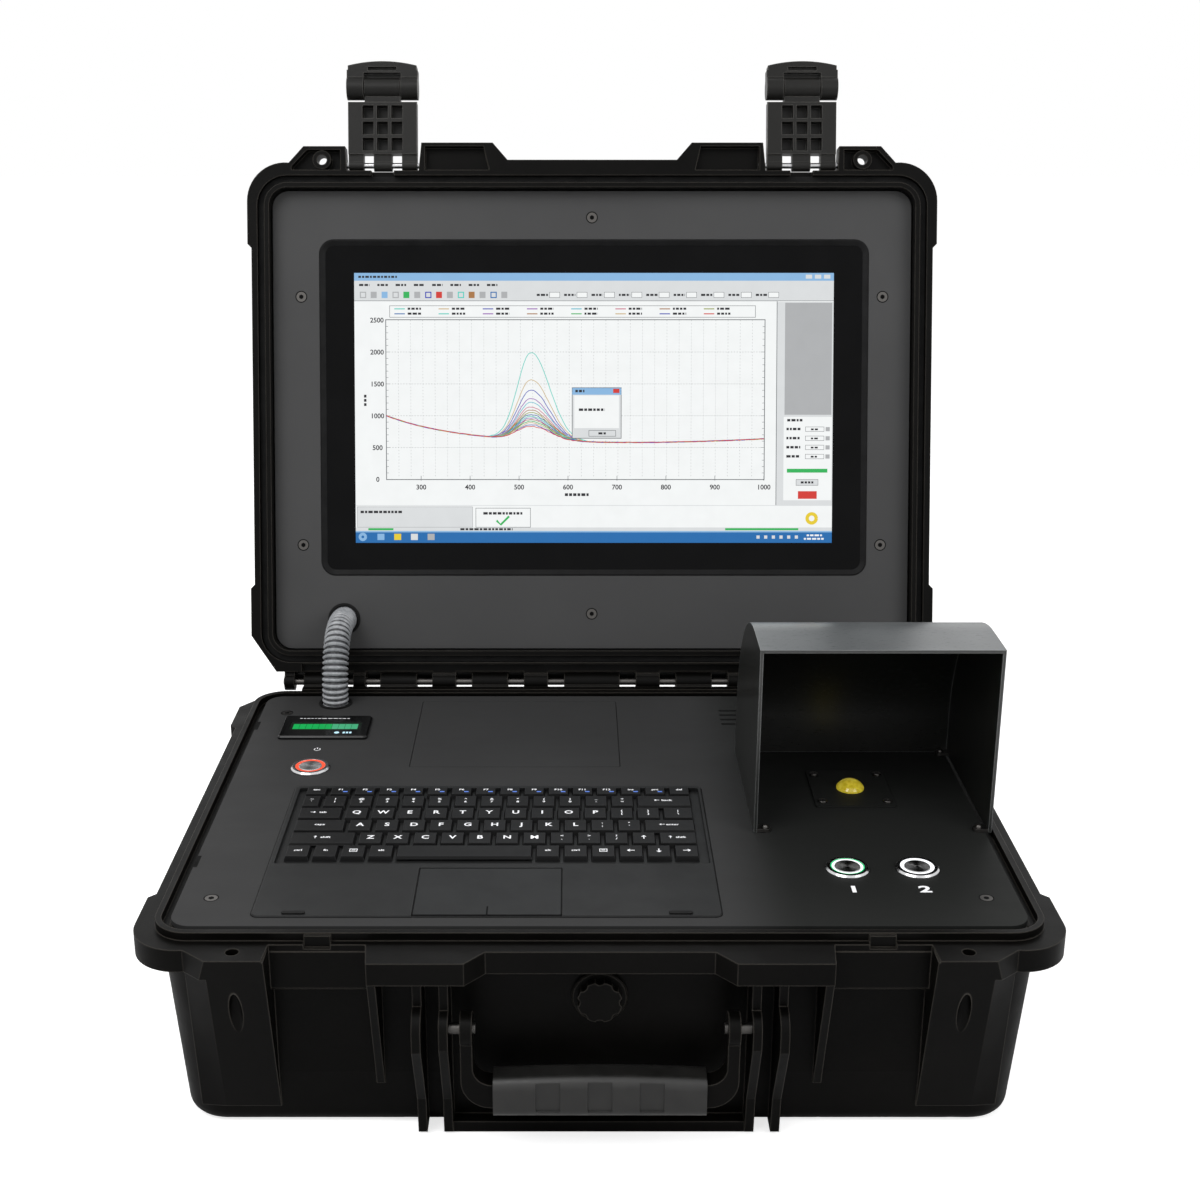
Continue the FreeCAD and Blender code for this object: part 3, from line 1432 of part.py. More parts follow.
def grommet(x, y, face, outward):
    """Rubber ring in a panel hole, with a lip on the outer face; outward is +1 or -1 along Z."""
    axis = Vector(0, 0, -outward)
    lip = rod(hose_hole_radius + grommet_lip, Vector(x, y, face + outward * 1.0), axis, 1.0)
    sleeve = rod(hose_hole_radius, Vector(x, y, face + outward * 1.0), axis, panel_thickness + 1.0)
    bore = rod(hose_radius + fit_gap, Vector(x, y, face + outward * 2.0), axis, panel_thickness + 4)
    return less(joined([lip, sleeve]), [bore])


# Inner modules

def spectrometer_module():
    w, d, h = spectrometer_size
    x, y = 150.0, 96.0
    case = box(x - w / 2, x + w / 2, y - d / 2, y + d / 2, wall, wall + h)
    case = rounded_edges(case, 3, lambda edge: edge.BoundBox.ZLength > h - 1)
    port = rod(5, Vector(x, y - d / 2 - 12, wall + h / 2), BACK, 13)
    return joined([case, port])


def lamp_module(x):
    w, d, h = lamp_size
    y = -100.0
    case = box(x - w / 2, x + w / 2, y - d / 2, y + d / 2, wall, wall + h)
    fins = [box(x - w / 2 + 4 + i * 6, x - w / 2 + 6 + i * 6, y - d / 2, y + d / 2, wall + h - 1,
                wall + h + 7) for i in range(7)]
    port = rod(4, Vector(x, y + d / 2 - 1, wall + h / 2), BACK, 12)
    return joined([case, port] + fins)


def battery_pack():
    w, d, h = battery_size
    x, y = -105.0, -90.0
    pack = box(x - w / 2, x + w / 2, y - d / 2, y + d / 2, wall, wall + h)
    return rounded_edges(pack, 4, lambda edge: edge.BoundBox.ZLength > h - 1)


def mainboard():
    w, d, t = board_size
    x, y = -90.0, 70.0
    low = wall + standoff_height
    board = box(x - w / 2, x + w / 2, y - d / 2, y + d / 2, low, low + t)
    parts = [box(x - 30, x + 10, y - 20, y + 20, low + t - 0.1, low + t + 14),
             box(x + 30, x + 70, y + 30, y + 50, low + t - 0.1, low + t + 8),
             box(x - 75, x - 40, y + 35, y + 52, low + t - 0.1, low + t + 10)]
    posts = [rod(3, Vector(x + i * (w / 2 - 6), y + j * (d / 2 - 6), wall), UP, standoff_height)
             for i in SIDES for j in SIDES]
    return [joined([board] + parts)] + posts


def cooling_fan():
    x = vent_left + vent_length / 2
    y = vent_front + (vent_count - 1) * vent_pitch / 2
    half = fan_size / 2
    top = panel_bottom
    frame = box(x - half, x + half, y - half, y + half, top - fan_depth, top)
    frame = less(frame, [rod(half - 1.5, Vector(x, y, top - fan_depth - 1), UP, fan_depth + 2)])
    strut = box(x - half + 0.5, x + half - 0.5, y - 1.5, y + 1.5, top - fan_depth, top - fan_depth + 2)
    hub = rod(8, Vector(x, y, top - fan_depth + 2), UP, fan_depth - 5)
    blades = []
    for index in range(5):
        blade = box(x + 6, x + half - 3, y - 0.6, y + 0.6, top - fan_depth + 4, top - 5)
        blade.rotate(Vector(x, y, 0), UP, 72 * index)
        blades.append(blade)
    return [joined([frame, strut]), joined([hub] + blades)]


def optical_fibres():
    start_z = panel_top - probe_length - 11.2
    spectrometer_port = Vector(150.0, 96.0 - spectrometer_size[1] / 2 - 12, wall + spectrometer_size[2] / 2)
    fibres = [route_tube([Vector(sample_x + 2, sample_y, start_z),
                          Vector(sample_x + 2, sample_y, start_z - 28),
                          Vector(150.0, sample_y + 8,
                                 spectrometer_port.z), spectrometer_port], fibre_radius)]
    for x, offset in ((uv_button[0], -2), (vis_button[0] + 12, 0)):
        port = Vector(x, -100.0 + lamp_size[1] / 2 + 11, wall + lamp_size[2] / 2)
        fibres.append(route_tube([Vector(sample_x + offset, sample_y - 2, start_z),
                                  Vector(sample_x + offset, sample_y - 3, start_z - 24),
                                  Vector(x, port.y + 26, port.z), port], fibre_radius))
    return fibres


def hinge_pin():
    reach = lid_knuckle_spans[-1][1] + 1
    return rod(hinge_pin_radius, Vector(-reach, hinge_y, hinge_z), RIGHT, 2 * reach)


def build():
    os.makedirs("parts", exist_ok=True)
    write("base_shell", base_shell())
    write("hinge_pin", hinge_pin())
    write("base_panel", base_panel())
    write("base_panel_screws", [countersunk_screw(x, y, panel_top, 1, screw_length) for x,
                                y in base_screw_places()])
    write("service_cover", service_cover())
    write("keyboard_tray", keyboard_tray())
    write("keyboard_plate", keyboard_plate())
    write("keyboard_feet", keyboard_feet())
    write("key_caps", still_keys())
    for name in moving_keys:
        write(name, moving_key(name))
    write("touchpad", touchpad())
    write("gauge_housing", gauge_housing())
    write("gauge_lens", gauge_lens())
    for name, place in (("power", power_button), ("uv", uv_button), ("vis", vis_button)):
        write(name + "_button_body", button_body(place))
        write(name + "_light_ring", light_ring(place))
        write(name + "_button_cap", button_cap(place))
    write("button_nuts", button_nuts())
    write("sample_plate", sample_plate())
    write("sample_plate_screws", sample_plate_screws())
    write("sample_dome", sample_dome())
    write("sample_probe", sample_probe())
    write("sample_hood", sample_hood())
    write("hood_studs", hood_studs())
    write("spectrometer_module", spectrometer_module())
    write("uv_lamp_module", lamp_module(uv_button[0]))
    write("vis_lamp_module", lamp_module(vis_button[0] + 12))
    write("optical_fibres", optical_fibres())
    write("battery_pack", battery_pack())
    write("mainboard", mainboard())
    write("cooling_fan", cooling_fan())
    write("handle_frame", handle_frame())
    write("handle_grip", handle_grip())
    write("handle_pins", handle_pins())
    write("valve_body", valve_body())
    write("valve_knob", valve_knob())
    write("hose", route_tube(hose_points(), hose_radius))
    write("hose_grommet_base", grommet(hose_x, hose_y, panel_top, 1))
    write("lid_shell", opened(lid_shell()))
    write("lid_gasket", opened(lid_gasket()))
    write("lid_panel", opened(lid_panel()))
    write("lid_panel_screws", [opened(countersunk_screw(x, y, lid_panel_face, -1, screw_length)) for x,
                               y in lid_screw_places()])
    write("display_bezel", opened(display_bezel()))
    write("display_glass", opened(display_glass()))
    write("display_module", opened(display_module()))
    write("hose_grommet_lid", opened(grommet(hose_lid_x, hinge_y - hose_lid_from_hinge, lid_panel_face,
                                             -1)))
    write("latch_pins", [opened(pin) for pin in both_sides([latch_pin()])])
    for side, name in ((1, "right"), (-1, "left")):
        arm = latch_arm()
        lever = latch_lever()
        if side < 0:
            arm = mirrored(arm)
            lever = mirrored(lever)
        write("latch_arm_" + name, opened(arm))
        write("latch_lever_" + name, opened(lever))
    print("nodes", len(solids_written), "solids", sum(solids_written.values()))


build()
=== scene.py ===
import json
import math
import random

import bpy
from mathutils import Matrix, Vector


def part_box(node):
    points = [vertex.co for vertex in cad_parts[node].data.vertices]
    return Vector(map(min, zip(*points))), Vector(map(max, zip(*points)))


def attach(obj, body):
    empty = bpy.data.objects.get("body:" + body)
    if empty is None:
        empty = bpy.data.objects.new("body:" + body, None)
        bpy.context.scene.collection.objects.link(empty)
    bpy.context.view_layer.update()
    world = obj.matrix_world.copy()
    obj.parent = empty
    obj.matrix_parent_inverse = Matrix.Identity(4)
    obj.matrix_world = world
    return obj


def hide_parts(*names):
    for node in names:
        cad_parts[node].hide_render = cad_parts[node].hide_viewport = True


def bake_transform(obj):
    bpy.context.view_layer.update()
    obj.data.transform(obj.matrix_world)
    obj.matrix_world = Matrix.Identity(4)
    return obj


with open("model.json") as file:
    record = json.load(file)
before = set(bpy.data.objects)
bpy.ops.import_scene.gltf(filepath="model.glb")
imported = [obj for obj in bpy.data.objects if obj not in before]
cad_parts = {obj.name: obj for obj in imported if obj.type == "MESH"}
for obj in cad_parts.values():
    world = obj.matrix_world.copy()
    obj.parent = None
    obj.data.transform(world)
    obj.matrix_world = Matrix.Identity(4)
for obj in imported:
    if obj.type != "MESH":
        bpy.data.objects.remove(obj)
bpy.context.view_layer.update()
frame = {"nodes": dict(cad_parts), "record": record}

nodes = frame["nodes"]
materials = {}

# Sizes in metres, shared with the solids
MM = 0.001
PANEL_TOP = 0.122
LID_ANGLE = math.radians(105.4)
HINGE = Vector((0, 0.1877, 0.124))
ALONG_LID = Vector((0, -math.cos(LID_ANGLE), math.sin(LID_ANGLE)))
TO_VIEWER = Vector((0, -math.sin(LID_ANGLE), -math.cos(LID_ANGLE)))
GLASS_OFFSET = -(4.8 + 0.8) * MM
DISPLAY_X = 1.5 * MM
DISPLAY_FROM_HINGE = 197.0 * MM

# Gaps that lift flat marks off the faces below them
LINE_GAP = 0.02 * MM
MARK_GAP = 0.03 * MM
SOCKET_GAP = 0.04 * MM
BAR_GAP = 0.05 * MM

KEY_ROW_PITCH = 16.8 * MM
FUNCTION_ROW_DEPTH = 12.4 * MM
KEYS_LEFT = -180.6 * MM
KEYS_WIDTH = 240.1 * MM
KEYS_BACK = 8.2 * MM
KEY_ROWS = (
    (1,) * 16,
    (0.8,) + (1,) * 12 + (2.2,),
    (1.75,) + (1,) * 12 + (1.25,),
    (2,) + (1,) * 11 + (2,),
    (2.5,) + (1,) * 10 + (1, 1.5),
    (1,) * 4 + (5,) + (1,) * 6,
)


# Node helpers

def new_material(name):
    """New entry in materials; gives its node tree and its shader."""
    material = bpy.data.materials.new(name)
    material.use_nodes = True
    tree = material.node_tree
    tree.nodes.clear()
    output = tree.nodes.new("ShaderNodeOutputMaterial")
    shader = tree.nodes.new("ShaderNodeBsdfPrincipled")
    tree.links.new(shader.outputs["BSDF"], output.inputs["Surface"])
    materials[name] = material
    return tree, shader


def add_node(tree, kind, **settings):
    node = tree.nodes.new(kind)
    for key, value in settings.items():
        if key in node.inputs:
            node.inputs[key].default_value = value
        else:
            setattr(node, key, value)
    return node


def object_coordinates(tree, scale=(1, 1, 1)):
    coordinates = add_node(tree, "ShaderNodeTexCoord")
    mapping = add_node(tree, "ShaderNodeMapping")
    mapping.inputs["Scale"].default_value = scale
    tree.links.new(coordinates.outputs["Object"], mapping.inputs["Vector"])
    return mapping.outputs["Vector"]


def noise(tree, vector, scale, detail=3.0, roughness=0.55):
    node = add_node(tree, "ShaderNodeTexNoise", Scale=scale, Detail=detail, Roughness=roughness)
    tree.links.new(vector, node.inputs["Vector"])
    return node.outputs["Fac"]


def ramp(tree, factor, low, high, low_at=0.35, high_at=0.65):
    node = add_node(tree, "ShaderNodeValToRGB")
    node.color_ramp.elements[0].position = low_at
    node.color_ramp.elements[1].position = high_at
    node.color_ramp.elements[0].color = (*low, 1)
    node.color_ramp.elements[1].color = (*high, 1)
    tree.links.new(factor, node.inputs["Fac"])
    return node.outputs["Color"]


def share_between(tree, value, low, high, at_low=0.0, at_high=1.0, **settings):
    """Goes from at_low to at_high while the value goes from low to high."""
    settings.update({"From Min": low, "From Max": high, "To Min": at_low, "To Max": at_high})
    node = add_node(tree, "ShaderNodeMapRange", **settings)
    tree.links.new(value, node.inputs["Value"])
    return node.outputs["Result"]


def span(tree, factor, low, high):
    """Spreads a noise over a range."""
    return share_between(tree, factor, 0.3, 0.7, low, high)


def bumped(tree, shader, height, strength, distance, soft_edge=0.0):
    bump = add_node(tree, "ShaderNodeBump", Strength=strength, Distance=distance)
    tree.links.new(height, bump.inputs["Height"])
    if soft_edge:
        bevel = add_node(tree, "ShaderNodeBevel", samples=4, Radius=soft_edge)
        tree.links.new(bevel.outputs["Normal"], bump.inputs["Normal"])
    tree.links.new(bump.outputs["Normal"], shader.inputs["Normal"])


def edge_wear(tree, radius, sharpness=6.0):
    """About 1 on convex and concave edges, 0 on flat faces, from a softened normal against the true one."""
    bevel = add_node(tree, "ShaderNodeBevel", samples=4, Radius=radius)
    geometry = add_node(tree, "ShaderNodeNewGeometry")
    dot = add_node(tree, "ShaderNodeVectorMath", operation="DOT_PRODUCT")
    tree.links.new(bevel.outputs["Normal"], dot.inputs[0])
    tree.links.new(geometry.outputs["Normal"], dot.inputs[1])
    return share_between(tree, dot.outputs["Value"], 1.0, 1.0 - 1.0 / sharpness)


def mixed_colour(tree, factor, first, second):
    node = add_node(tree, "ShaderNodeMix", data_type="RGBA")
    tree.links.new(factor, node.inputs["Factor"])
    for socket, value in ((node.inputs[6], first), (node.inputs[7], second)):
        if isinstance(value, tuple):
            socket.default_value = (*value, 1)
        else:
            tree.links.new(value, socket)
    return node.outputs[2]


def surface(tree, shader, colour, roughness, specular=0.5):
    tree.links.new(colour, shader.inputs["Base Color"])
    tree.links.new(roughness, shader.inputs["Roughness"])
    shader.inputs["Specular IOR Level"].default_value = specular


# Materials

def moulded_plastic(name, dark, light, roughness, grain, grain_depth, specular=0.35, soft_edge=0.0007,
                    wear_and_highlight=(0.05, 0.05, 0.052)):
    """Textured injection moulding: fine spark grain, cloudy tone, and paler edges that are partly rubbed
    wear and partly painted highlight.
    """
    tree, shader = new_material(name)
    place = object_coordinates(tree)
    cloud = noise(tree, place, 14.0, 4.0)
    tone = ramp(tree, cloud, dark, light)
    # Paler edges: partly rubbed wear, partly painted highlight
    rubbed_and_highlit = mixed_colour(tree, edge_wear(tree, soft_edge * 1.6), tone, wear_and_highlight)
    gloss = span(tree, noise(tree, place, 45.0, 5.0), roughness - 0.06, roughness + 0.08)
    surface(tree, shader, rubbed_and_highlit, gloss, specular)
    bumped(tree, shader, noise(tree, place, grain, 2.0), 0.5, grain_depth, soft_edge)


def powder_coat(name, dark, light, roughness, specular=0.4, soft_edge=0.0004, hood_shade=None):
    """Fine orange peel of powder coat on sheet metal, with faint handling marks in the gloss.

    When a shade colour is given, a painted shade and reflection of the hood turns the coat to that colour
    over the right part, between the start and end of the shaded span along X.
    """
    tree, shader = new_material(name)
    place = object_coordinates(tree)
    tone = ramp(tree, noise(tree, place, 9.0, 4.0), dark, light, 0.3, 0.7)
    # Painted shade and reflection of the hood over the right part of the panel
    if hood_shade:
        across = add_node(tree, "ShaderNodeSeparateXYZ")
        tree.links.new(place, across.inputs[0])
        share = share_between(tree, across.outputs["X"], HOOD_SHADE_START, HOOD_SHADE_END,
                              interpolation_type="SMOOTHSTEP")
        tone = mixed_colour(tree, share, tone, hood_shade)
    handled = noise(tree, object_coordinates(tree, (1.0, 2.2, 1.0)), 22.0, 6.0, 0.65)
    surface(tree, shader, tone, span(tree, handled, roughness - 0.05, roughness + 0.06), specular)
    bumped(tree, shader, noise(tree, place, 1500.0, 2.0), 0.35, 0.00006, soft_edge)


def hood_finish():
    """Satin paint on the hood: fine drawn grain, a painted sheen that makes the upward faces paler, and
    painted highlights on the edges.
    """
    tree, shader = new_material("hood_coat")
    place = object_coordinates(tree)
    grain = noise(tree, object_coordinates(tree, (1.0, 14.0, 14.0)), 160.0, 3.0, 0.6)
    tone = ramp(tree, grain, (0.0085, 0.0090, 0.0080), (0.0120, 0.0126, 0.0114), 0.3, 0.7)
    geometry = add_node(tree, "ShaderNodeNewGeometry")
    facing = add_node(tree, "ShaderNodeSeparateXYZ")
    tree.links.new(geometry.outputs["True Normal"], facing.inputs[0])
    # Painted sheen: upward faces turn paler, as if lit from above
    upward = share_between(tree, facing.outputs["Z"], 0.70, 0.97, interpolation_type="SMOOTHSTEP")
    painted_top_sheen = ramp(tree, noise(tree, place, 26.0, 3.0), (0.085, 0.093, 0.097), (0.125, 0.134, 0.139), 0.3,
                   0.7)
    with_top_sheen = mixed_colour(tree, upward, tone, painted_top_sheen)
    # Painted highlight: bright lines on the hood's edges
    rubbed_and_highlit = mixed_colour(tree, edge_wear(tree, 0.0011), with_top_sheen, (0.24, 0.25, 0.25))
    surface(tree, shader, rubbed_and_highlit, span(tree, grain, 0.27, 0.31), 0.9)
    bumped(tree, shader, grain, 0.10, 0.00002, 0.0006)


def turned_metal(name, colour, roughness):
    """Button face turned on a lathe, whose fine circles draw light out into a cone."""
    tree, shader = new_material(name)
    place = object_coordinates(tree)
    streak = noise(tree, place, 700.0, 3.0, 0.7)
    dark = tuple(channel * 0.8 for channel in colour)
    gloss = span(tree, streak, roughness * 0.85, roughness * 1.15)
    surface(tree, shader, ramp(tree, streak, dark, colour), gloss)
    shader.inputs["Metallic"].default_value = 1.0
    shader.inputs["Anisotropic"].default_value = 0.85
    tangent = add_node(tree, "ShaderNodeTangent", direction_type="RADIAL", axis="Z")
    tree.links.new(tangent.outputs["Tangent"], shader.inputs["Tangent"])
    bumped(tree, shader, streak, 0.08, 0.00003, 0.0002)


def metal(name, colour, roughness, stretch=(1, 1, 30), scale=500.0, soft_edge=0.0002):
    """Turned or brushed metal with drawn streaks in its gloss."""
    tree, shader = new_material(name)
    place = object_coordinates(tree, stretch)
    streak = noise(tree, place, scale, 3.0, 0.7)
    dark = tuple(channel * 0.86 for channel in colour)
    gloss = span(tree, streak, roughness * 0.75, roughness * 1.3)
    surface(tree, shader, ramp(tree, streak, dark, colour), gloss)
    shader.inputs["Metallic"].default_value = 1.0
    bumped(tree, shader, streak, 0.12, 0.00004, soft_edge)


def soft_rubber(name, dark, light, roughness=0.62, specular=0.2):
    tree, shader = new_material(name)
    place = object_coordinates(tree)
    tone = ramp(tree, noise(tree, place, 60.0, 4.0), dark, light)
    gloss = span(tree, noise(tree, place, 160.0, 3.0), roughness - 0.07, roughness + 0.07)
    surface(tree, shader, tone, gloss, specular)
    bumped(tree, shader, noise(tree, place, 2600.0, 2.0), 0.5, 0.00005, 0.0008)


def glossy(name, dark, light, roughness=0.08, specular=0.5, coat=0.0):
    """Polished plastic or glass face with faint smears in its gloss."""
    tree, shader = new_material(name)
    place = object_coordinates(tree)
    smear = noise(tree, object_coordinates(tree, (1.0, 3.0, 3.0)), 18.0, 6.0, 0.7)
    tone = ramp(tree, noise(tree, place, 30.0, 3.0), dark, light)
    surface(tree, shader, tone, span(tree, smear, roughness * 0.6, roughness * 1.6), specular)
    shader.inputs["Coat Weight"].default_value = coat
    bumped(tree, shader, noise(tree, place, 60.0, 2.0), 0.02, 0.0001, 0.0003)


def lit(name, colour, strength, mottled=0.9, base=(0.5, 0.5, 0.5)):
    """Self lit face, slightly uneven: a display area, a light guide or a lamp window; on printed marks the
    glow is painted light.
    """
    tree, shader = new_material(name)
    place = object_coordinates(tree)
    dim = tuple(channel * mottled for channel in colour)
    glow = ramp(tree, noise(tree, place, 90.0, 2.0), dim, colour, 0.3, 0.7)
    tree.links.new(glow, shader.inputs["Emission Color"])
    shader.inputs["Emission Strength"].default_value = strength
    tree.links.new(ramp(tree, noise(tree, place, 40.0, 2.0), tuple(c * 0.9 for c in base), base),
                   shader.inputs["Base Color"])
    shader.inputs["Roughness"].default_value = 0.3
    shader.inputs["Specular IOR Level"].default_value = 0.2


def amber_window():
    tree, shader = new_material("amber")
    place = object_coordinates(tree)
    tone = ramp(tree, noise(tree, place, 260.0, 3.0), (0.62, 0.47, 0.02), (0.85, 0.70, 0.06))
    tree.links.new(tone, shader.inputs["Base Color"])
    tree.links.new(tone, shader.inputs["Emission Color"])
    shader.inputs["Emission Strength"].default_value = 0.28
    shader.inputs["Roughness"].default_value = 0.12
    shader.inputs["Subsurface Weight"].default_value = 0.4
    shader.inputs["Subsurface Radius"].default_value = (0.004, 0.003, 0.001)
    shader.inputs["Coat Weight"].default_value = 0.5
    bumped(tree, shader, noise(tree, place, 500.0, 2.0), 0.06, 0.0001)


def hose_plastic(name, dark, light):
    """Milky conduit, slightly see-through; its rings take the pale copy, and the dark copy in the grooves
    between them is painted shade.
    """
    tree, shader = new_material(name)
    place = object_coordinates(tree)
    tone = ramp(tree, noise(tree, place, 120.0, 4.0), dark, light)
    surface(tree, shader, tone, span(tree, noise(tree, place, 300.0, 3.0), 0.2, 0.34))
    shader.inputs["Transmission Weight"].default_value = 0.12
    shader.inputs["Subsurface Weight"].default_value = 0.25
    shader.inputs["Subsurface Radius"].default_value = (0.004, 0.004, 0.004)
    bumped(tree, shader, noise(tree, place, 900.0, 2.0), 0.12, 0.00006)


# Span along X where the painted shade of the hood darkens the base panel
HOOD_SHADE_START = 0.062
HOOD_SHADE_END = 0.112

moulded_plastic("case_plastic", (0.0016, 0.0015, 0.0013), (0.0034, 0.0031, 0.0027), 0.40, 1700.0, 0.00012,
                0.075, 0.0007, (0.066, 0.060, 0.052))
moulded_plastic("latch_plastic", (0.0085, 0.0083, 0.0076), (0.0150, 0.0145, 0.0132), 0.38, 1700.0, 0.00012,
                0.22, 0.0007, (0.10, 0.096, 0.088))
soft_rubber("rubber", (0.006, 0.006, 0.006), (0.012, 0.012, 0.012), 0.6, 0.12)
soft_rubber("grip", (0.009, 0.0088, 0.0083), (0.016, 0.0155, 0.0145), 0.36, 0.55)
powder_coat("panel_coat", (0.046, 0.046, 0.0462), (0.053, 0.053, 0.0533), 0.55, 0.06)
# Base panel coat with painted shade and reflection of the hood on its right part
powder_coat("base_panel_coat_hood_shade", (0.046, 0.046, 0.0462), (0.053, 0.053, 0.0533), 0.55, 0.06,
            hood_shade=(0.0215, 0.0225, 0.0215))
# Darker panel coat for the plate under the hood: painted shade
powder_coat("sample_plate_shaded_coat", (0.015, 0.016, 0.015), (0.020, 0.021, 0.020), 0.5, 0.10)
powder_coat("lid_coat", (0.066, 0.066, 0.067), (0.074, 0.074, 0.075), 0.55, 0.25)
hood_finish()
metal("dark_steel", (0.11, 0.105, 0.10), 0.38)
metal("steel", (0.62, 0.62, 0.63), 0.28)
metal("bezel_steel", (0.70, 0.70, 0.71), 0.20, (1, 1, 1), 900.0)
turned_metal("cap_steel", (0.50, 0.50, 0.50), 0.34)
lit("ring_red", (1.0, 0.10, 0.045), 1.0, 0.9, (0.25, 0.04, 0.02))
lit("ring_white", (0.95, 0.97, 1.0), 1.2)
moulded_plastic("keyboard_plastic", (0.015, 0.0155, 0.0157), (0.020, 0.0205, 0.0208), 0.46, 2600.0, 0.00004,
                0.14, 0.0004, (0.04, 0.04, 0.04))
moulded_plastic("touchpad_plastic", (0.012, 0.0126, 0.013), (0.016, 0.0168, 0.0172), 0.38, 3000.0, 0.00003,
                0.16, 0.0003, (0.04, 0.04, 0.04))
moulded_plastic("key_plastic", (0.0060, 0.0060, 0.0062), (0.0095, 0.0095, 0.0098), 0.42, 2800.0, 0.00004,
                0.14, 0.0005, (0.03, 0.03, 0.031))
glossy("gauge_black", (0.004, 0.004, 0.0042), (0.007, 0.007, 0.0072), 0.16, 0.3)
glossy("gauge_window", (0.010, 0.022, 0.014), (0.014, 0.030, 0.019), 0.12, 0.3)
lit("gauge_lit", (0.001, 0.42, 0.085), 0.95, 0.9, (0.01, 0.05, 0.02))
lit("gauge_pale", (0.055, 0.46, 0.22), 0.85, 0.9, (0.03, 0.07, 0.04))
lit("gauge_blue", (0.35, 0.75, 0.95), 0.9)
amber_window()
glossy("screen_glass", (0.0022, 0.0022, 0.0025), (0.0034, 0.0034, 0.0038), 0.07, 0.08)
soft_rubber("bezel_black", (0.006, 0.006, 0.0062), (0.010, 0.010, 0.0104), 0.5, 0.12)
metal("module_metal", (0.55, 0.55, 0.57), 0.4)
glossy("battery_blue", (0.03, 0.09, 0.3), (0.05, 0.12, 0.4), 0.3)
glossy("board_green", (0.02, 0.14, 0.05), (0.03, 0.2, 0.08), 0.35)
moulded_plastic("fan_black", (0.01, 0.01, 0.01), (0.016, 0.016, 0.016), 0.4, 1500.0, 0.00005)
soft_rubber("fibre_jacket", (0.012, 0.012, 0.012), (0.02, 0.02, 0.02))
hose_plastic("hose_grey", (0.40, 0.415, 0.435), (0.56, 0.575, 0.60))
# Dark copy of the hose plastic for the grooves: painted shade in the creases
hose_plastic("hose_groove_shade", (0.060, 0.062, 0.066), (0.10, 0.103, 0.11))
# Key legend inks: printed colour with a painted glow
lit("legend_ink_glow", (0.82, 0.83, 0.85), 0.62, 0.9, (0.7, 0.7, 0.72))
lit("legend_blue_glow", (0.10, 0.22, 0.75), 0.55, 0.9, (0.1, 0.2, 0.6))
# Near-black, used for the painted shade in the screw sockets, the panel's side slots and the touchpad's
# lines
soft_rubber("socket_dark", (0.002, 0.002, 0.002), (0.004, 0.004, 0.004), 0.6, 0.05)
# Near-black for painted shade in the gap round the lid panel
soft_rubber("gap_shade_dark", (0.003, 0.003, 0.003), (0.006, 0.006, 0.006), 0.7, 0.05)
lit("glow_green", (0.01, 0.62, 0.22), 0.9, 0.9, (0.02, 0.3, 0.1))
# Marks on the panel and gauge: printed colour with a painted glow
lit("mark_ink_glow", (0.85, 0.85, 0.87), 0.75, 0.9, (0.7, 0.7, 0.72))

FINISH_OF_NODE = {
    "base_panel": "base_panel_coat_hood_shade",
    "sample_plate": "sample_plate_shaded_coat",
    "latch_arm_left": "latch_plastic",
    "latch_arm_right": "latch_plastic",
    "latch_lever_left": "latch_plastic",
    "latch_lever_right": "latch_plastic",
    "touchpad": "touchpad_plastic",
    "handle_grip": "grip",
    "gauge_lens": "gauge_window",
    "handle_pins": "dark_steel",
    "hinge_pin": "dark_steel",
    "hood_studs": "dark_steel",
    "uv_light_ring": "ring_white",
}
for part in frame["record"]["subparts"]:
    node = nodes[part["node"]]
    finish = FINISH_OF_NODE.get(part["node"], part["material_slot"])
    node.data.materials.clear()
    node.data.materials.append(materials[finish])


# Mesh helpers

CAPITAL_HEIGHT = 0.72
CAPITAL_MIDDLE = 0.36


def mesh_object(name, vertices, faces, material, body, smooth=False):
    """Piece with one material, fixed to its body when one is given."""
    mesh = bpy.data.meshes.new(name)
    mesh.from_pydata([tuple(v) for v in vertices], [], faces)
    mesh.update()
    if smooth:
        mesh.polygons.foreach_set("use_smooth", [True] * len(mesh.polygons))
    piece = bpy.data.objects.new(name, mesh)
    bpy.context.scene.collection.objects.link(piece)
    mesh.materials.append(materials[material])
    if body:
        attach(piece, body)
    return piece


def mesh_of_curve(curve):
    """Mesh read from a curve or text, which is then dropped."""
    holder = bpy.data.objects.new(curve.name, curve)
    bpy.context.scene.collection.objects.link(holder)
    bpy.context.view_layer.update()
    mesh = bpy.data.meshes.new_from_object(holder)
    bpy.data.objects.remove(holder)
    bpy.data.curves.remove(curve)
    return mesh


def lying_at(height):
    """Gives the place function of a sheet that lies level at a height."""
    def place(x, y, level):
        return Vector((x, y, height))

    return place


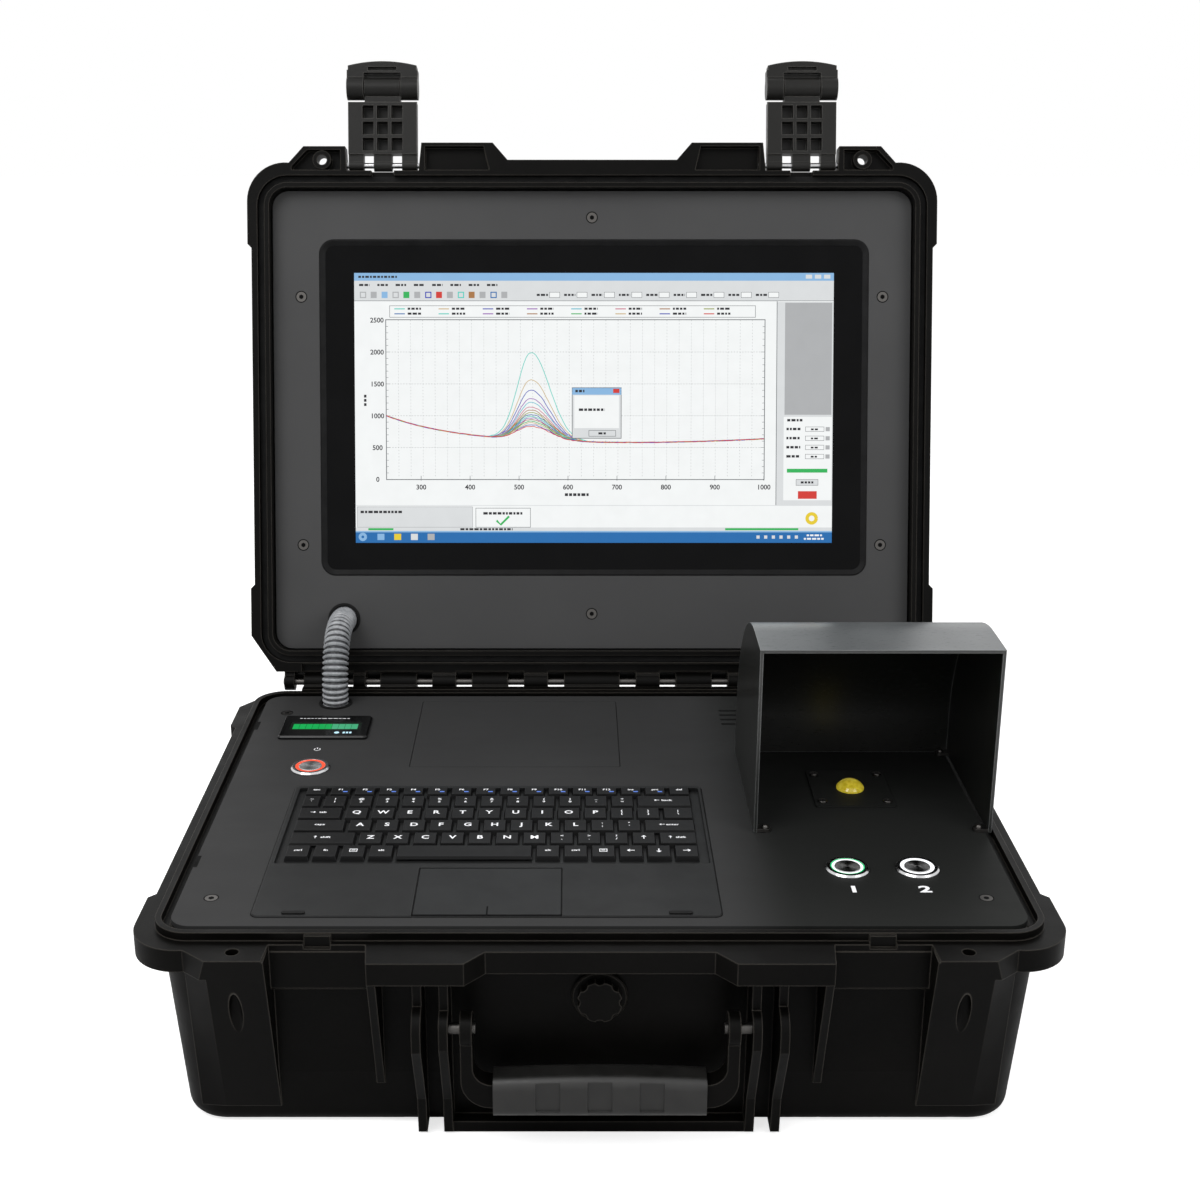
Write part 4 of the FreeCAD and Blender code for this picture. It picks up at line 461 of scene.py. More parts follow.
class Sheet:
    """Flat shapes gathered on one plane and turned into one thin mesh."""

    upright = 1.0

    def __init__(self, place):
        self.place = place
        self.vertices = []
        self.faces = []

    def polygon(self, points, level=0):
        start = len(self.vertices)
        self.vertices += [self.place(x, y, level) for x, y in points]
        self.faces.append(tuple(range(start, start + len(points))))

    def rectangle(self, x0, y0, x1, y1, level=0):
        self.polygon([(x0, y0), (x1, y0), (x1, y1), (x0, y1)], level)

    def outline(self, x0, y0, x1, y1, width, level=0):
        self.rectangle(x0, y0, x1, y0 + width, level)
        self.rectangle(x0, y1 - width, x1, y1, level)
        self.rectangle(x0, y0 + width, x0 + width, y1 - width, level)
        self.rectangle(x1 - width, y0 + width, x1, y1 - width, level)

    def ribbon(self, points, width, level=0):
        """Strip of even width along a line of points."""
        half = width / 2
        left, right = [], []
        for index, (x, y) in enumerate(points):
            x0, y0 = points[max(index - 1, 0)]
            x1, y1 = points[min(index + 1, len(points) - 1)]
            length = math.hypot(x1 - x0, y1 - y0) or 1.0
            nx, ny = -(y1 - y0) / length * half, (x1 - x0) / length * half
            left.append((x + nx, y + ny))
            right.append((x - nx, y - ny))
        start = len(self.vertices)
        for a, b in zip(left, right):
            self.vertices += [self.place(*a, level), self.place(*b, level)]
        for index in range(len(points) - 1):
            k = start + 2 * index
            self.faces.append((k, k + 1, k + 3, k + 2))

    def ring(self, x, y, outer, inner, start=0.0, stop=360.0, level=0, steps=32):
        points = []
        middle = (outer + inner) / 2
        for index in range(steps + 1):
            turn = math.radians(start + (stop - start) * index / steps)
            points.append((x + middle * math.cos(turn), y + middle * math.sin(turn)))
        self.ribbon(points, outer - inner, level)

    def text(self, words, x, y, height, level=0, weight=0.0, wide=1.0):
        """Plain characters round a middle point, from the font that Blender carries."""
        curve = bpy.data.curves.new("glyphs", "FONT")
        curve.body = words
        curve.size = 1.0
        curve.offset = weight
        curve.resolution_u = 3
        curve.align_x = "CENTER"
        mesh = mesh_of_curve(curve)
        start = len(self.vertices)
        size = height / CAPITAL_HEIGHT
        for vertex in mesh.vertices:
            across = x + vertex.co.x * size * wide
            along = y + (vertex.co.y - CAPITAL_MIDDLE) * size * self.upright
            self.vertices.append(self.place(across, along, level))
        for face in mesh.polygons:
            self.faces.append(tuple(start + index for index in face.vertices))
        bpy.data.meshes.remove(mesh)

    def build(self, name, material, body, slot):
        return mesh_object(name, self.vertices, self.faces, material, body)


# Hose between the base and the lid, with rings and grooves along a smooth line

HOSE_DIAMETER = 0.0185
HOSE_EXIT = (-0.1805, 0.1505, 0.099)
RING_PITCH = 0.0037
GROOVE_DEPTH = 0.0018


def lid_point(x, from_hinge, outward):
    return HINGE + Vector((x, 0, 0)) + ALONG_LID * from_hinge - TO_VIEWER * outward


HOSE_POINTS = (
    Vector(HOSE_EXIT), Vector((-0.1805, 0.1505, 0.121)), Vector((-0.1804, 0.1518, 0.1435)),
    Vector((-0.1799, 0.1674, 0.1656)),
    lid_point(-0.1793, 0.045, -0.0089), lid_point(-0.1793, 0.045, 0.0141),
)


def spline_line(name, points, order=3, resolution=24):
    """Points read from a smooth curve through the route."""
    curve = bpy.data.curves.new(name, "CURVE")
    curve.dimensions = "3D"
    spline = curve.splines.new("NURBS")
    spline.points.add(len(points) - 1)
    for target, point in zip(spline.points, points):
        target.co = (*point, 1)
    spline.order_u = order
    spline.use_endpoint_u = True
    curve.resolution_u = resolution
    mesh = mesh_of_curve(curve)
    line = [vertex.co.copy() for vertex in mesh.vertices]
    bpy.data.meshes.remove(mesh)
    return line


def at_length(line, lengths, distance):
    """Point and direction at a distance along a line."""
    for index in range(1, len(line)):
        if distance <= lengths[index] or index == len(line) - 1:
            step = lengths[index] - lengths[index - 1]
            share = (distance - lengths[index - 1]) / step
            direction = (line[index] - line[index - 1]).normalized()
            return line[index - 1].lerp(line[index], share), direction


def build_hose():
    line = spline_line("hose_line", HOSE_POINTS)
    lengths = [0.0]
    for a, b in zip(line, line[1:]):
        lengths.append(lengths[-1] + (b - a).length)
    total = lengths[-1]
    samples_per_ring = 10
    around = 40
    count = int(total / RING_PITCH * samples_per_ring)
    vertices, faces = [], []
    for index in range(count + 1):
        distance = total * index / count
        centre, direction = at_length(line, lengths, distance)
        phase = 2 * math.pi * distance / RING_PITCH
        swell = 0.5 + 0.5 * math.cos(phase)
        radius = HOSE_DIAMETER / 2 - GROOVE_DEPTH * (1 - swell ** 0.7)
        side = Vector((1, 0, 0))
        up = direction.cross(side).normalized()
        side = up.cross(direction).normalized()
        for step in range(around):
            turn = 2 * math.pi * step / around
            vertices.append(centre + side * (radius * math.cos(turn)) + up * (radius * math.sin(turn)))
    for index in range(count):
        for step in range(around):
            a = index * around + step
            b = index * around + (step + 1) % around
            faces.append((a, b, b + around, a + around))
    faces.append(tuple(reversed(range(around))))
    faces.append(tuple(count * around + step for step in range(around)))
    piece = mesh_object("hose_tube", vertices, faces, "hose_grey", None, smooth=True)
    # Groove faces take the dark copy: painted shade between the rings
    piece.data.materials.append(materials["hose_groove_shade"])
    for number, polygon in enumerate(piece.data.polygons):
        along = (number // around + 0.5) * total / count
        polygon.material_index = int(math.cos(2 * math.pi * along / RING_PITCH) < -0.25)
    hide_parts("hose")
    tuple(HOSE_POINTS[1])
    tuple(HOSE_POINTS[4])
    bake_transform(piece)


build_hose()


# Keyboard legends: plain letters and digits, arrows and short strokes

KEY_LEGENDS = (
    ("esc",) + tuple("F%d" % number for number in range(1, 13)) + ("ins", "prt", "del"),
    ("~|`", "!|1", "@|2", "#|3", "$|4", "%|5", "^|6", "&|7", "*|8", "(|9", ")|0", "_|-", "+|=", "back"),
    ("tab",) + tuple("QWERTYUIOP") + ("{|[", "}|]", "||\\"),
    ("caps",) + tuple("ASDFGHJKL") + (":|;", "\"|'", "enter"),
    ("shift",) + tuple("ZXCVBNM") + ("<|,", ">|.", "?|/", "up", "shift"),
    ("ctrl", "fn", "menu", "alt", "", "alt", "ctrl", "menu", "left", "down", "right"),
)
MOVING_KEYS = {(1, 13): "key_backspace", (3, 12): "key_enter", (4, 0): "key_shift_left",
               (5, 4): "key_space"}
KEY_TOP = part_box("key_caps")[1].z


def key_centre(row, place):
    unit = KEYS_WIDTH / sum(KEY_ROWS[row])
    x = KEYS_LEFT + unit * sum(KEY_ROWS[row][:place]) + unit * KEY_ROWS[row][place] / 2
    if row == 0:
        y = KEYS_BACK - FUNCTION_ROW_DEPTH / 2
    else:
        y = KEYS_BACK - FUNCTION_ROW_DEPTH - (row - 0.5) * KEY_ROW_PITCH
    return x, y


def arrow(sheet, x, y, dx, dy, size):
    width = size * 0.16
    sheet.ribbon([(x - dx * size / 2, y - dy * size / 2), (x + dx * size / 2, y + dy * size / 2)], width)
    tip = (x + dx * size / 2, y + dy * size / 2)
    for turn in (1, -1):
        back = (tip[0] - (dx * 0.35 + dy * 0.3 * turn) * size,
                tip[1] - (dy * 0.35 - dx * 0.3 * turn) * size)
        sheet.ribbon([back, tip], width)


LETTER_HEIGHT = 4.3 * MM
PAIR_HEIGHT = 2.3 * MM
WORD_HEIGHT = 2.2 * MM
SMALL_INK = 0.022
LETTER_INK = 0.026
ARROWS = {"left": (-1, 0), "right": (1, 0), "up": (0, 1), "down": (0, -1)}
WORDS_WITH_ARROW = {"shift": (0, 1), "back": (-1, 0), "tab": (1, 0), "enter": (-1, 0)}


def draw_legend(sheet, row, place, legend):
    """Bold letters, pairs of small signs, or a small word with an arrow beside it."""
    x, y = key_centre(row, place)
    if row == 0:
        sheet.text(legend, x, y + 1.6 * MM, WORD_HEIGHT, weight=SMALL_INK, wide=1.1)
    elif legend in ARROWS:
        arrow(sheet, x, y + 0.6 * MM, *ARROWS[legend], 4.2 * MM)
    elif legend in WORDS_WITH_ARROW:
        arrow(sheet, x - 4.4 * MM, y + 0.8 * MM, *WORDS_WITH_ARROW[legend], 3.0 * MM)
        sheet.text(legend, x + 1.6 * MM, y + 0.8 * MM, WORD_HEIGHT, weight=SMALL_INK, wide=1.15)
    elif legend == "menu":
        sheet.outline(x - 2.3 * MM, y - 1.2 * MM, x + 2.3 * MM, y + 2.6 * MM, 0.5 * MM)
        sheet.rectangle(x - 1.2 * MM, y + 0.2 * MM, x + 1.2 * MM, y + 0.7 * MM)
        sheet.rectangle(x - 1.2 * MM, y + 1.2 * MM, x + 1.2 * MM, y + 1.7 * MM)
    elif len(legend) == 3 and legend[1] == "|":
        sheet.text(legend[0], x, y + 2.6 * MM, PAIR_HEIGHT, weight=SMALL_INK, wide=1.1)
        sheet.text(legend[2], x, y - 1.2 * MM, PAIR_HEIGHT, weight=SMALL_INK, wide=1.1)
    elif len(legend) == 1:
        sheet.text(legend, x, y + 0.9 * MM, LETTER_HEIGHT, weight=LETTER_INK, wide=1.1)
    elif legend:
        sheet.text(legend, x, y + 0.9 * MM, WORD_HEIGHT, weight=SMALL_INK, wide=1.15)


def build_legends():
    on_keys = lying_at(KEY_TOP + MARK_GAP)
    still = Sheet(on_keys)
    for row, legends in enumerate(KEY_LEGENDS):
        for place, legend in enumerate(legends):
            key = MOVING_KEYS.get((row, place))
            if key is None:
                draw_legend(still, row, place, legend)
            elif legend:
                own = Sheet(on_keys)
                draw_legend(own, row, place, legend)
                own.build("legend_" + key, "legend_ink_glow", key, "key_plastic")
    still.build("key_legends", "legend_ink_glow", "base", "key_plastic")
    second = Sheet(on_keys)
    for place in range(1, len(KEY_ROWS[0]) - 1):
        x, y = key_centre(0, place)
        second.rectangle(x + 1.6 * MM, y - 2.2 * MM, x + 4.4 * MM, y - 0.8 * MM)
    second.build("key_second_marks", "legend_blue_glow", "base", "key_plastic")


build_legends()


# Marks on the panels, painted shade in the screw sockets and in the gap round the lid panel, latch webs,
# and the lit ring and gauge

SCREW_RADIUS = 4.0 * MM
SOCKET_RADIUS = 1.7 * MM
BASE_SCREW_X = 212.0 * MM
BASE_SCREW_Y = 133.0 * MM
LID_SCREW_X = 208.5 * MM
LID_SCREW_Y = 89.0 * MM
LID_FRONT_SCREW_Y = -145.3 * MM
LID_BACK_SCREW_Y = 138.9 * MM
LID_FACE = 4.8 * MM
LID_PANEL_HALF_X = 228.5 * MM
PANEL_HALF_Y = 164.0 * MM
PANEL_CORNER = 12.0 * MM
PANEL_LEFT = -229.5 * MM
BUTTON_DEPTH = 9.5 * MM
POWER_X = -182.3 * MM
POWER_Y = 39.0 * MM
LAMP_BUTTONS_X = {"1": 141.0 * MM, "2": 180.4 * MM}
NUMBERS_Y = -122.8 * MM
NUMBER_HEIGHT = 7.2 * MM

# The latches, in millimetres where the lid is closed
LATCH_X = 148.5
LATCH_END = -235.0
LATCH_PIVOT_Z = 124.5
WEB_HALF = 1.0
TAIL_HALF = 12.9
TAIL_FROM, TAIL_TO = -9.7, -7.0
LUG_NEAR, LUG_FAR = 12.6, 24.2
LUG_FROM, LUG_TO = 9.35, 10.7


def build_panel_marks():
    on_panel = lying_at(PANEL_TOP + MARK_GAP)
    marks = Sheet(on_panel)
    above = POWER_Y + 31 * MM
    marks.ring(POWER_X, above, 2.2 * MM, 1.8 * MM, 120, 420)
    marks.rectangle(POWER_X - 0.25 * MM, above + 0.4 * MM, POWER_X + 0.25 * MM, above + 2.8 * MM)
    for number, x in LAMP_BUTTONS_X.items():
        marks.text(number, x, NUMBERS_Y, NUMBER_HEIGHT, weight=0.032, wide=1.4)
    marks.build("panel_marks", "mark_ink_glow", "base", "panel_coat")
    slots = Sheet(on_panel)
    for y0, y1 in ((-97, -83), (103, 117)):
        slots.rectangle(PANEL_LEFT, y0 * MM, PANEL_LEFT + 2.2 * MM, y1 * MM)
    slots.build("panel_side_slots", "socket_dark", "base", "panel_coat")


def screw_face(sheet, x, y):
    """Painted shade: a dark six-sided socket and the shadow ring round a countersunk head."""
    corners = []
    for turn in range(6):
        angle = math.radians(60 * turn + 30)
        corners.append((x + SOCKET_RADIUS * math.cos(angle), y + SOCKET_RADIUS * math.sin(angle)))
    sheet.polygon(corners)
    sheet.ring(x, y, SCREW_RADIUS + 0.25 * MM, SCREW_RADIUS - 0.45 * MM)


def build_screw_faces():
    base_faces = Sheet(lying_at(PANEL_TOP + SOCKET_GAP))
    for x in (-BASE_SCREW_X, BASE_SCREW_X):
        for y in (-BASE_SCREW_Y, BASE_SCREW_Y):
            screw_face(base_faces, x, y)
    base_faces.build("base_screw_socket_shade", "socket_dark", "base", "dark_steel")

    def on_lid_panel(x, y, level):
        return lid_point(x, HINGE.y - y, LID_FACE - SOCKET_GAP)

    lid_faces = Sheet(on_lid_panel)
    places = [(x, y) for x in (-LID_SCREW_X, LID_SCREW_X) for y in (-LID_SCREW_Y, LID_SCREW_Y)]
    for x, y in places + [(0, LID_FRONT_SCREW_Y), (0, LID_BACK_SCREW_Y)]:
        screw_face(lid_faces, x, y)
    lid_faces.build("lid_screw_socket_shade", "socket_dark", "lid", "dark_steel")


def rounded_loop(half_x, half_y, corner, steps=10):
    """Points of a rounded rectangle about the origin, anticlockwise."""
    points = []
    for quarter, (sx, sy) in enumerate(((1, 1), (-1, 1), (-1, -1), (1, -1))):
        for step in range(steps + 1):
            turn = math.radians(90 * quarter + 90 * step / steps)
            points.append((sx * (half_x - corner) + corner * math.cos(turn),
                           sy * (half_y - corner) + corner * math.sin(turn)))
    return points


def build_lid_panel_bead():
    """Dark bead in the gap round the lid panel, as painted shade in the gap."""
    rings = []
    for grow, depth in ((0.1, 0.7), (0.7, 0.7), (0.7, 3.0), (0.1, 3.0)):
        outline = rounded_loop(LID_PANEL_HALF_X + grow * MM, PANEL_HALF_Y + grow * MM,
                               PANEL_CORNER + grow * MM)
        rings.append([lid_point(x, HINGE.y - y, LID_FACE + depth * MM) for x, y in outline])
    vertices = [point for ring in rings for point in ring]
    count = len(rings[0])
    faces = []
    for ring in range(4):
        for step in range(count):
            following = (step + 1) % count
            a = ring * count
            b = ((ring + 1) % 4) * count
            faces.append((a + step, a + following, b + following, b + step))
    mesh_object("lid_panel_gap_shade", vertices, faces, "gap_shade_dark", "lid")


def build_touchpad_lines():
    low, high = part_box("touchpad")
    lines = Sheet(lying_at(high.z + LINE_GAP))
    middle = (low.x + high.x) / 2
    front = low.y + 0.5 * MM
    lines.rectangle(middle - 0.45 * MM, front, middle + 0.45 * MM, front + BUTTON_DEPTH)
    lines.outline(low.x + 0.1 * MM, low.y + 0.1 * MM, high.x - 0.1 * MM, high.y - 0.1 * MM, 0.4 * MM)
    lines.rectangle(low.x, low.y, high.x, low.y + 0.9 * MM)
    lines.build("touchpad_lines", "socket_dark", "touchpad", "keyboard_plastic")


def closed_block(name, x0, x1, y0, y1, z0, z1, body):
    """Block whose corners are given where the lid is closed, then opened with the lid."""
    corners = [(x, y, z) for x in (x0, x1) for y in (y0, y1) for z in (z0, z1)]
    vertices = [lid_point(x * MM, HINGE.y - y * MM, z * MM - HINGE.z) for x, y, z in corners]
    faces = [(0, 1, 3, 2), (4, 6, 7, 5), (0, 4, 5, 1), (2, 3, 7, 6), (0, 2, 6, 4), (1, 5, 7, 3)]
    return mesh_object(name, vertices, faces, "latch_plastic", body)


def build_latch_webs():
    """Thin webs that close the gaps between each latch arm, its lever and the lever's side lugs."""
    low, high = LATCH_PIVOT_Z - WEB_HALF, LATCH_PIVOT_Z + WEB_HALF
    for side, word in ((-1, "left"), (1, "right")):
        x = side * LATCH_X
        body = "latch_arm_" + word
        closed_block("latch_tail_web_" + word, x - TAIL_HALF, x + TAIL_HALF,
                     LATCH_END + TAIL_FROM, LATCH_END + TAIL_TO, low, high, body)
        for hand, end in ((-1, "a"), (1, "b")):
            near, far = sorted((x + hand * LUG_NEAR, x + hand * LUG_FAR))
            closed_block("latch_side_web_%s_%s" % (word, end), near, far,
                         LATCH_END + LUG_FROM, LATCH_END + LUG_TO, low, high, body)


def build_ring_glow():
    """Green rim of light round the first lamp button."""
    low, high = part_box("uv_light_ring")
    middle = (low + high) / 2
    radius = (high.x - low.x) / 2
    glow = Sheet(lying_at(high.z + MARK_GAP))
    glow.ring(middle.x, middle.y, radius, radius - 0.75 * MM, steps=48)
    glow.build("uv_ring_rim", "glow_green", "base", "ring_white")


def build_gauge():
    low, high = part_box("gauge_lens")
    on_lens = lying_at(high.z + BAR_GAP)
    on_rim = lying_at(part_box("gauge_housing")[1].z + MARK_GAP)
    middle = (low.x + high.x) / 2
    centre_y = (low.y + high.y) / 2
    inner = high.x - low.x - 4 * MM
    segments = 10
    bright_segments = 6
    half_joint = 0.1 * MM
    bar_low, bar_high = centre_y - 5.4 * MM, centre_y + 3.4 * MM
    step = inner / segments
    bright = Sheet(on_lens)
    pale = Sheet(on_lens)
    for index in range(segments):
        x0 = middle - inner / 2 + index * step
        sheet = bright if index < bright_segments else pale
        sheet.rectangle(x0 + half_joint, bar_low, x0 + step - half_joint, bar_high)
    bright.build("gauge_bar", "gauge_lit", "base", "gauge_green")
    pale.build("gauge_bar_rest", "gauge_pale", "base", "gauge_green")
    blue = Sheet(on_rim)
    blue.ring(middle + 9 * MM, centre_y - 12.0 * MM, 1.7 * MM, 0.1 * MM)
    for offset in (13, 15.2, 17.4):
        x0 = middle + offset * MM
        blue.rectangle(x0, centre_y - 13.4 * MM, middle + (offset + 1.5) * MM, centre_y - 10.6 * MM)
    blue.build("gauge_reading", "gauge_blue", "base", "gauge_black")
    dashes = Sheet(on_rim)
    random.seed(4)
    x = middle - 19 * MM
    while x < middle + 15 * MM:
        width = random.uniform(1.2, 3.4) * MM
        dashes.rectangle(x, centre_y + 12.2 * MM, x + width, centre_y + 12.9 * MM)
        x += width + 0.8 * MM
    dashes.build("gauge_strokes", "mark_ink_glow", "base", "gauge_black")


build_panel_marks()
build_screw_faces()
build_lid_panel_bead()
build_touchpad_lines()
build_latch_webs()
build_ring_glow()
build_gauge()


# Screen picture: a generic chart in a plain window, drawn in screen dots

DOTS_WIDE = 1366
DOTS_HIGH = 768
DOT = 344.2 * MM / DOTS_WIDE
LAYER = 0.025 * MM
FIRST_LAYER = 4

FLAT_COLOURS = {
    "white": (0.90, 0.92, 0.92), "grey": (0.42, 0.43, 0.44), "pale": (0.70, 0.72, 0.73),
    "line": (0.16, 0.17, 0.18), "grid": (0.36, 0.38, 0.38), "ink": (0.02, 0.02, 0.025),
    "blue": (0.012, 0.145, 0.42), "sky": (0.25, 0.47, 0.74), "green": (0.03, 0.45, 0.10),
    "red": (0.65, 0.04, 0.03), "yellow": (0.80, 0.60, 0.03), "teal": (0.08, 0.62, 0.52),
    "navy": (0.03, 0.05, 0.45), "tan": (0.62, 0.45, 0.22), "purple": (0.30, 0.08, 0.45),
    "brown": (0.40, 0.18, 0.06), "cyan": (0.10, 0.50, 0.62), "rose": (0.60, 0.16, 0.25),
    "olive": (0.30, 0.36, 0.05),
}
for colour_name, colour in FLAT_COLOURS.items():
    lit("screen_" + colour_name, colour, 1.0, 0.97, (0.01, 0.01, 0.01))


def on_screen(x, y, level):
    """Screen dots, from the top left corner, to a point just in front of the glass."""
    across = DISPLAY_X + (x - DOTS_WIDE / 2) * DOT
    along = DISPLAY_FROM_HINGE + (DOTS_HIGH / 2 - y) * DOT
    towards_viewer = GLASS_OFFSET + (level + FIRST_LAYER) * LAYER
    return HINGE + Vector((across, 0, 0)) + ALONG_LID * along + TO_VIEWER * towards_viewer


class Screen:
    """One sheet for each screen colour."""

    def __init__(self):
        self.sheets = {}

    def __getitem__(self, colour_name):
        if colour_name not in self.sheets:
            sheet = Sheet(on_screen)
            sheet.upright = -1.0
            self.sheets[colour_name] = sheet
        return self.sheets[colour_name]

    def build(self):
        for colour_name, sheet in self.sheets.items():
            sheet.build("screen_%s_shapes" % colour_name, "screen_" + colour_name, "lid", "screen_glass")


def strokes(screen, colour_name, x, y, length, height=5, level=3, seed=1):
    """A run of short dashes where the real screen has words."""
    random.seed(seed)
    end = x + length
    while x < end:
        width = min(random.uniform(5, 13), end - x)
        screen[colour_name].rectangle(x, y, x + width, y + height, level)
        x += width + 3


TITLE_BAR_END = 22
MENU_BAR_END = 46
TOOL_BAR_END = 78
SIDE_PANEL_LEFT = 1204
FOOTER_TOP = 660
TASK_BAR_TOP = 734
TICK_HEIGHT = 14
CHART = (90, 133, 1170, 586)
WAVE_LOW, WAVE_HIGH = 230.0, 1000.0
COUNT_HIGH = 2500.0
PEAK_WAVE = 525
RED_FROM = 640
REST_COUNT = 560
START_EXTRA = 440
DIP_COUNT = 640
CURVE_STEPS = 154


def chart_point(wave, count):
    x0, y0, x1, y1 = CHART
    return x0 + (wave - WAVE_LOW) / (WAVE_HIGH - WAVE_LOW) * (x1 - x0), y1 - count / COUNT_HIGH * (y1 - y0)


def spectrum(peak, seed):
    """Falling dark level, one fluorescence peak near 525 and a slow rise towards the red."""
    random.seed(seed)
    points = []
    for index in range(CURVE_STEPS + 1):
        wave = WAVE_LOW + (WAVE_HIGH - WAVE_LOW) * index / CURVE_STEPS
        rise = 75 * ((wave - RED_FROM) / 360) ** 2 * (wave > RED_FROM)
        base = REST_COUNT + START_EXTRA * math.exp(-(wave - WAVE_LOW) / 150.0) + rise
        width = 34 if wave < PEAK_WAVE else 46
        base += (peak - DIP_COUNT) * math.exp(-((wave - PEAK_WAVE) / width) ** 2 / 1.35)
        base += random.uniform(-7, 7)
        points.append(chart_point(wave, base))
    return points


TOOL_COLOURS = (
    "grey", "grey", "sky", "grey", "green", "grey", "navy", "red", "grey", "teal", "brown", "grey",
    "blue", "grey",
)
CURVE_COLOURS = (
    "teal", "tan", "navy", "purple", "cyan", "rose", "brown", "olive", "blue", "teal", "purple", "brown",
    "green", "tan", "navy", "red",
)
PEAKS = (2010, 1590, 1420, 1290, 1230, 1160, 1110, 1070, 1040, 1010, 985, 960, 935, 905, 880, 855)


def draw_bars(screen):
    """Title bar, menus and tool bar."""
    screen["sky"].rectangle(0, 0, DOTS_WIDE, TITLE_BAR_END, 1)
    strokes(screen, "ink", 12, 8, 110, 6, 2, 7)
    for x in (1286, 1312, 1338):
        screen["pale"].rectangle(x, 5, x + 18, 16, 2)
    screen["pale"].rectangle(0, TITLE_BAR_END, DOTS_WIDE, MENU_BAR_END, 1)
    for index in range(8):
        strokes(screen, "ink", 14 + index * 52, 31, 30, 6, 2, 20 + index)
    screen["pale"].rectangle(0, MENU_BAR_END, DOTS_WIDE, TOOL_BAR_END, 1)
    for index, colour_name in enumerate(TOOL_COLOURS):
        x = 16 + index * 31
        if index % 3:
            screen[colour_name].rectangle(x, 53, x + 17, 71, 2)
        else:
            screen[colour_name].outline(x, 53, x + 18, 71, 3, 2)
    for index in range(9):
        x = 520 + index * 78
        strokes(screen, "ink", x, 59, 32, 6, 2, 40 + index)
        screen["white"].rectangle(x + 36, 54, x + 66, 70, 2)
        screen["line"].outline(x + 36, 54, x + 66, 70, 1.2, 3)
    screen["line"].rectangle(0, TOOL_BAR_END, DOTS_WIDE, TOOL_BAR_END + 1.5, 2)


def draw_key(screen):
    """Key of the curves, in two rows over the chart."""
    left, right = CHART[0], CHART[2]
    screen["line"].outline(left + 10, 92, right - 26, 126, 1.4, 2)
    for index, colour_name in enumerate(CURVE_COLOURS):
        x = left + 24 + (index % 8) * 126
        y = 100 + 14 * (index // 8)
        screen[colour_name].rectangle(x, y, x + 30, y + 3, 2)
        strokes(screen, "ink", x + 38, y - 2, 38, 6, 2, 60 + index)


def draw_chart(screen):
    """Frame, numbers, grid, ticks and sixteen curves."""
    x0, y0, x1, y1 = CHART
    screen["line"].outline(x0 - 2, y0 - 2, x1 + 2, y1 + 2, 2.4, 2)
    for count in range(0, 2501, 500):
        x, y = chart_point(WAVE_LOW, count)
        screen["ink"].text(str(count), x - 26, y, TICK_HEIGHT, 3, weight=0.02)
        for step in range(int((x1 - x0) / 8)):
            if 0 < count < 2500:
                screen["grid"].rectangle(x0 + step * 8, y - 0.6, x0 + step * 8 + 4, y + 0.6, 1)
    for wave in range(300, 1001, 100):
        x, y = chart_point(wave, 0)
        screen["ink"].text(str(wave), x, y + 22, TICK_HEIGHT, 3, weight=0.02)
        screen["line"].rectangle(x - 0.8, y - 10, x + 0.8, y + 4, 2)
    for index in range(1, 31):
        x = x0 + (x1 - x0) * index / 31
        for step in range(int((y1 - y0) / 9)):
            screen["grid"].rectangle(x - 0.5, y0 + step * 9, x + 0.5, y0 + step * 9 + 3.5, 1)
    for index in range(1, 25):
        y = y0 + (y1 - y0) * index / 25
        length = 10 if index % 5 == 0 else 6
        screen["line"].rectangle(x0, y - 0.6, x0 + length, y + 0.6, 2)
        screen["line"].rectangle(x1 - length, y - 0.6, x1, y + 0.6, 2)
    for index, (peak, colour_name) in enumerate(zip(PEAKS, CURVE_COLOURS)):
        screen[colour_name].ribbon(spectrum(peak, 100 + index), 2.1, 4 + index * 0.2)
    strokes(screen, "ink", 600, y1 + 40, 70, 8, 2, 81)
    for index in range(3):
        screen["ink"].rectangle(26, 345 + index * 12, 33, 353 + index * 12, 3)


def draw_side_panel(screen):
    """Grey list, four settings, a progress bar, two buttons and a ring."""
    screen["pale"].rectangle(SIDE_PANEL_LEFT, 82, DOTS_WIDE, FOOTER_TOP, 1)
    screen["grey"].rectangle(1228, 84, 1362, 402, 2)
    screen["line"].rectangle(SIDE_PANEL_LEFT, 80, SIDE_PANEL_LEFT + 2, FOOTER_TOP, 2)
    screen["white"].rectangle(1226, 408, 1364, 646, 2)
    strokes(screen, "ink", 1236, 414, 44, 7, 3, 83)
    for index in range(4):
        y = 436 + index * 26
        strokes(screen, "ink", 1234, y + 3, 40, 7, 3, 90 + index)
        screen["white"].rectangle(1288, y, 1342, y + 14, 3)
        screen["line"].outline(1288, y, 1342, y + 14, 1.2, 4)
        strokes(screen, "ink", 1304, y + 5, 20, 5, 4, 96 + index)
        screen["grey"].rectangle(1346, y + 1, 1358, y + 13, 3)
    screen["green"].rectangle(1236, 556, 1352, 567, 3)
    screen["pale"].rectangle(1262, 586, 1326, 604, 3)
    screen["line"].outline(1262, 586, 1326, 604, 1.2, 4)
    strokes(screen, "ink", 1276, 592, 36, 6, 4, 99)
    screen["red"].rectangle(1268, 620, 1322, 642, 3)
    screen["yellow"].ring(1308, 698, 18, 8, level=3)


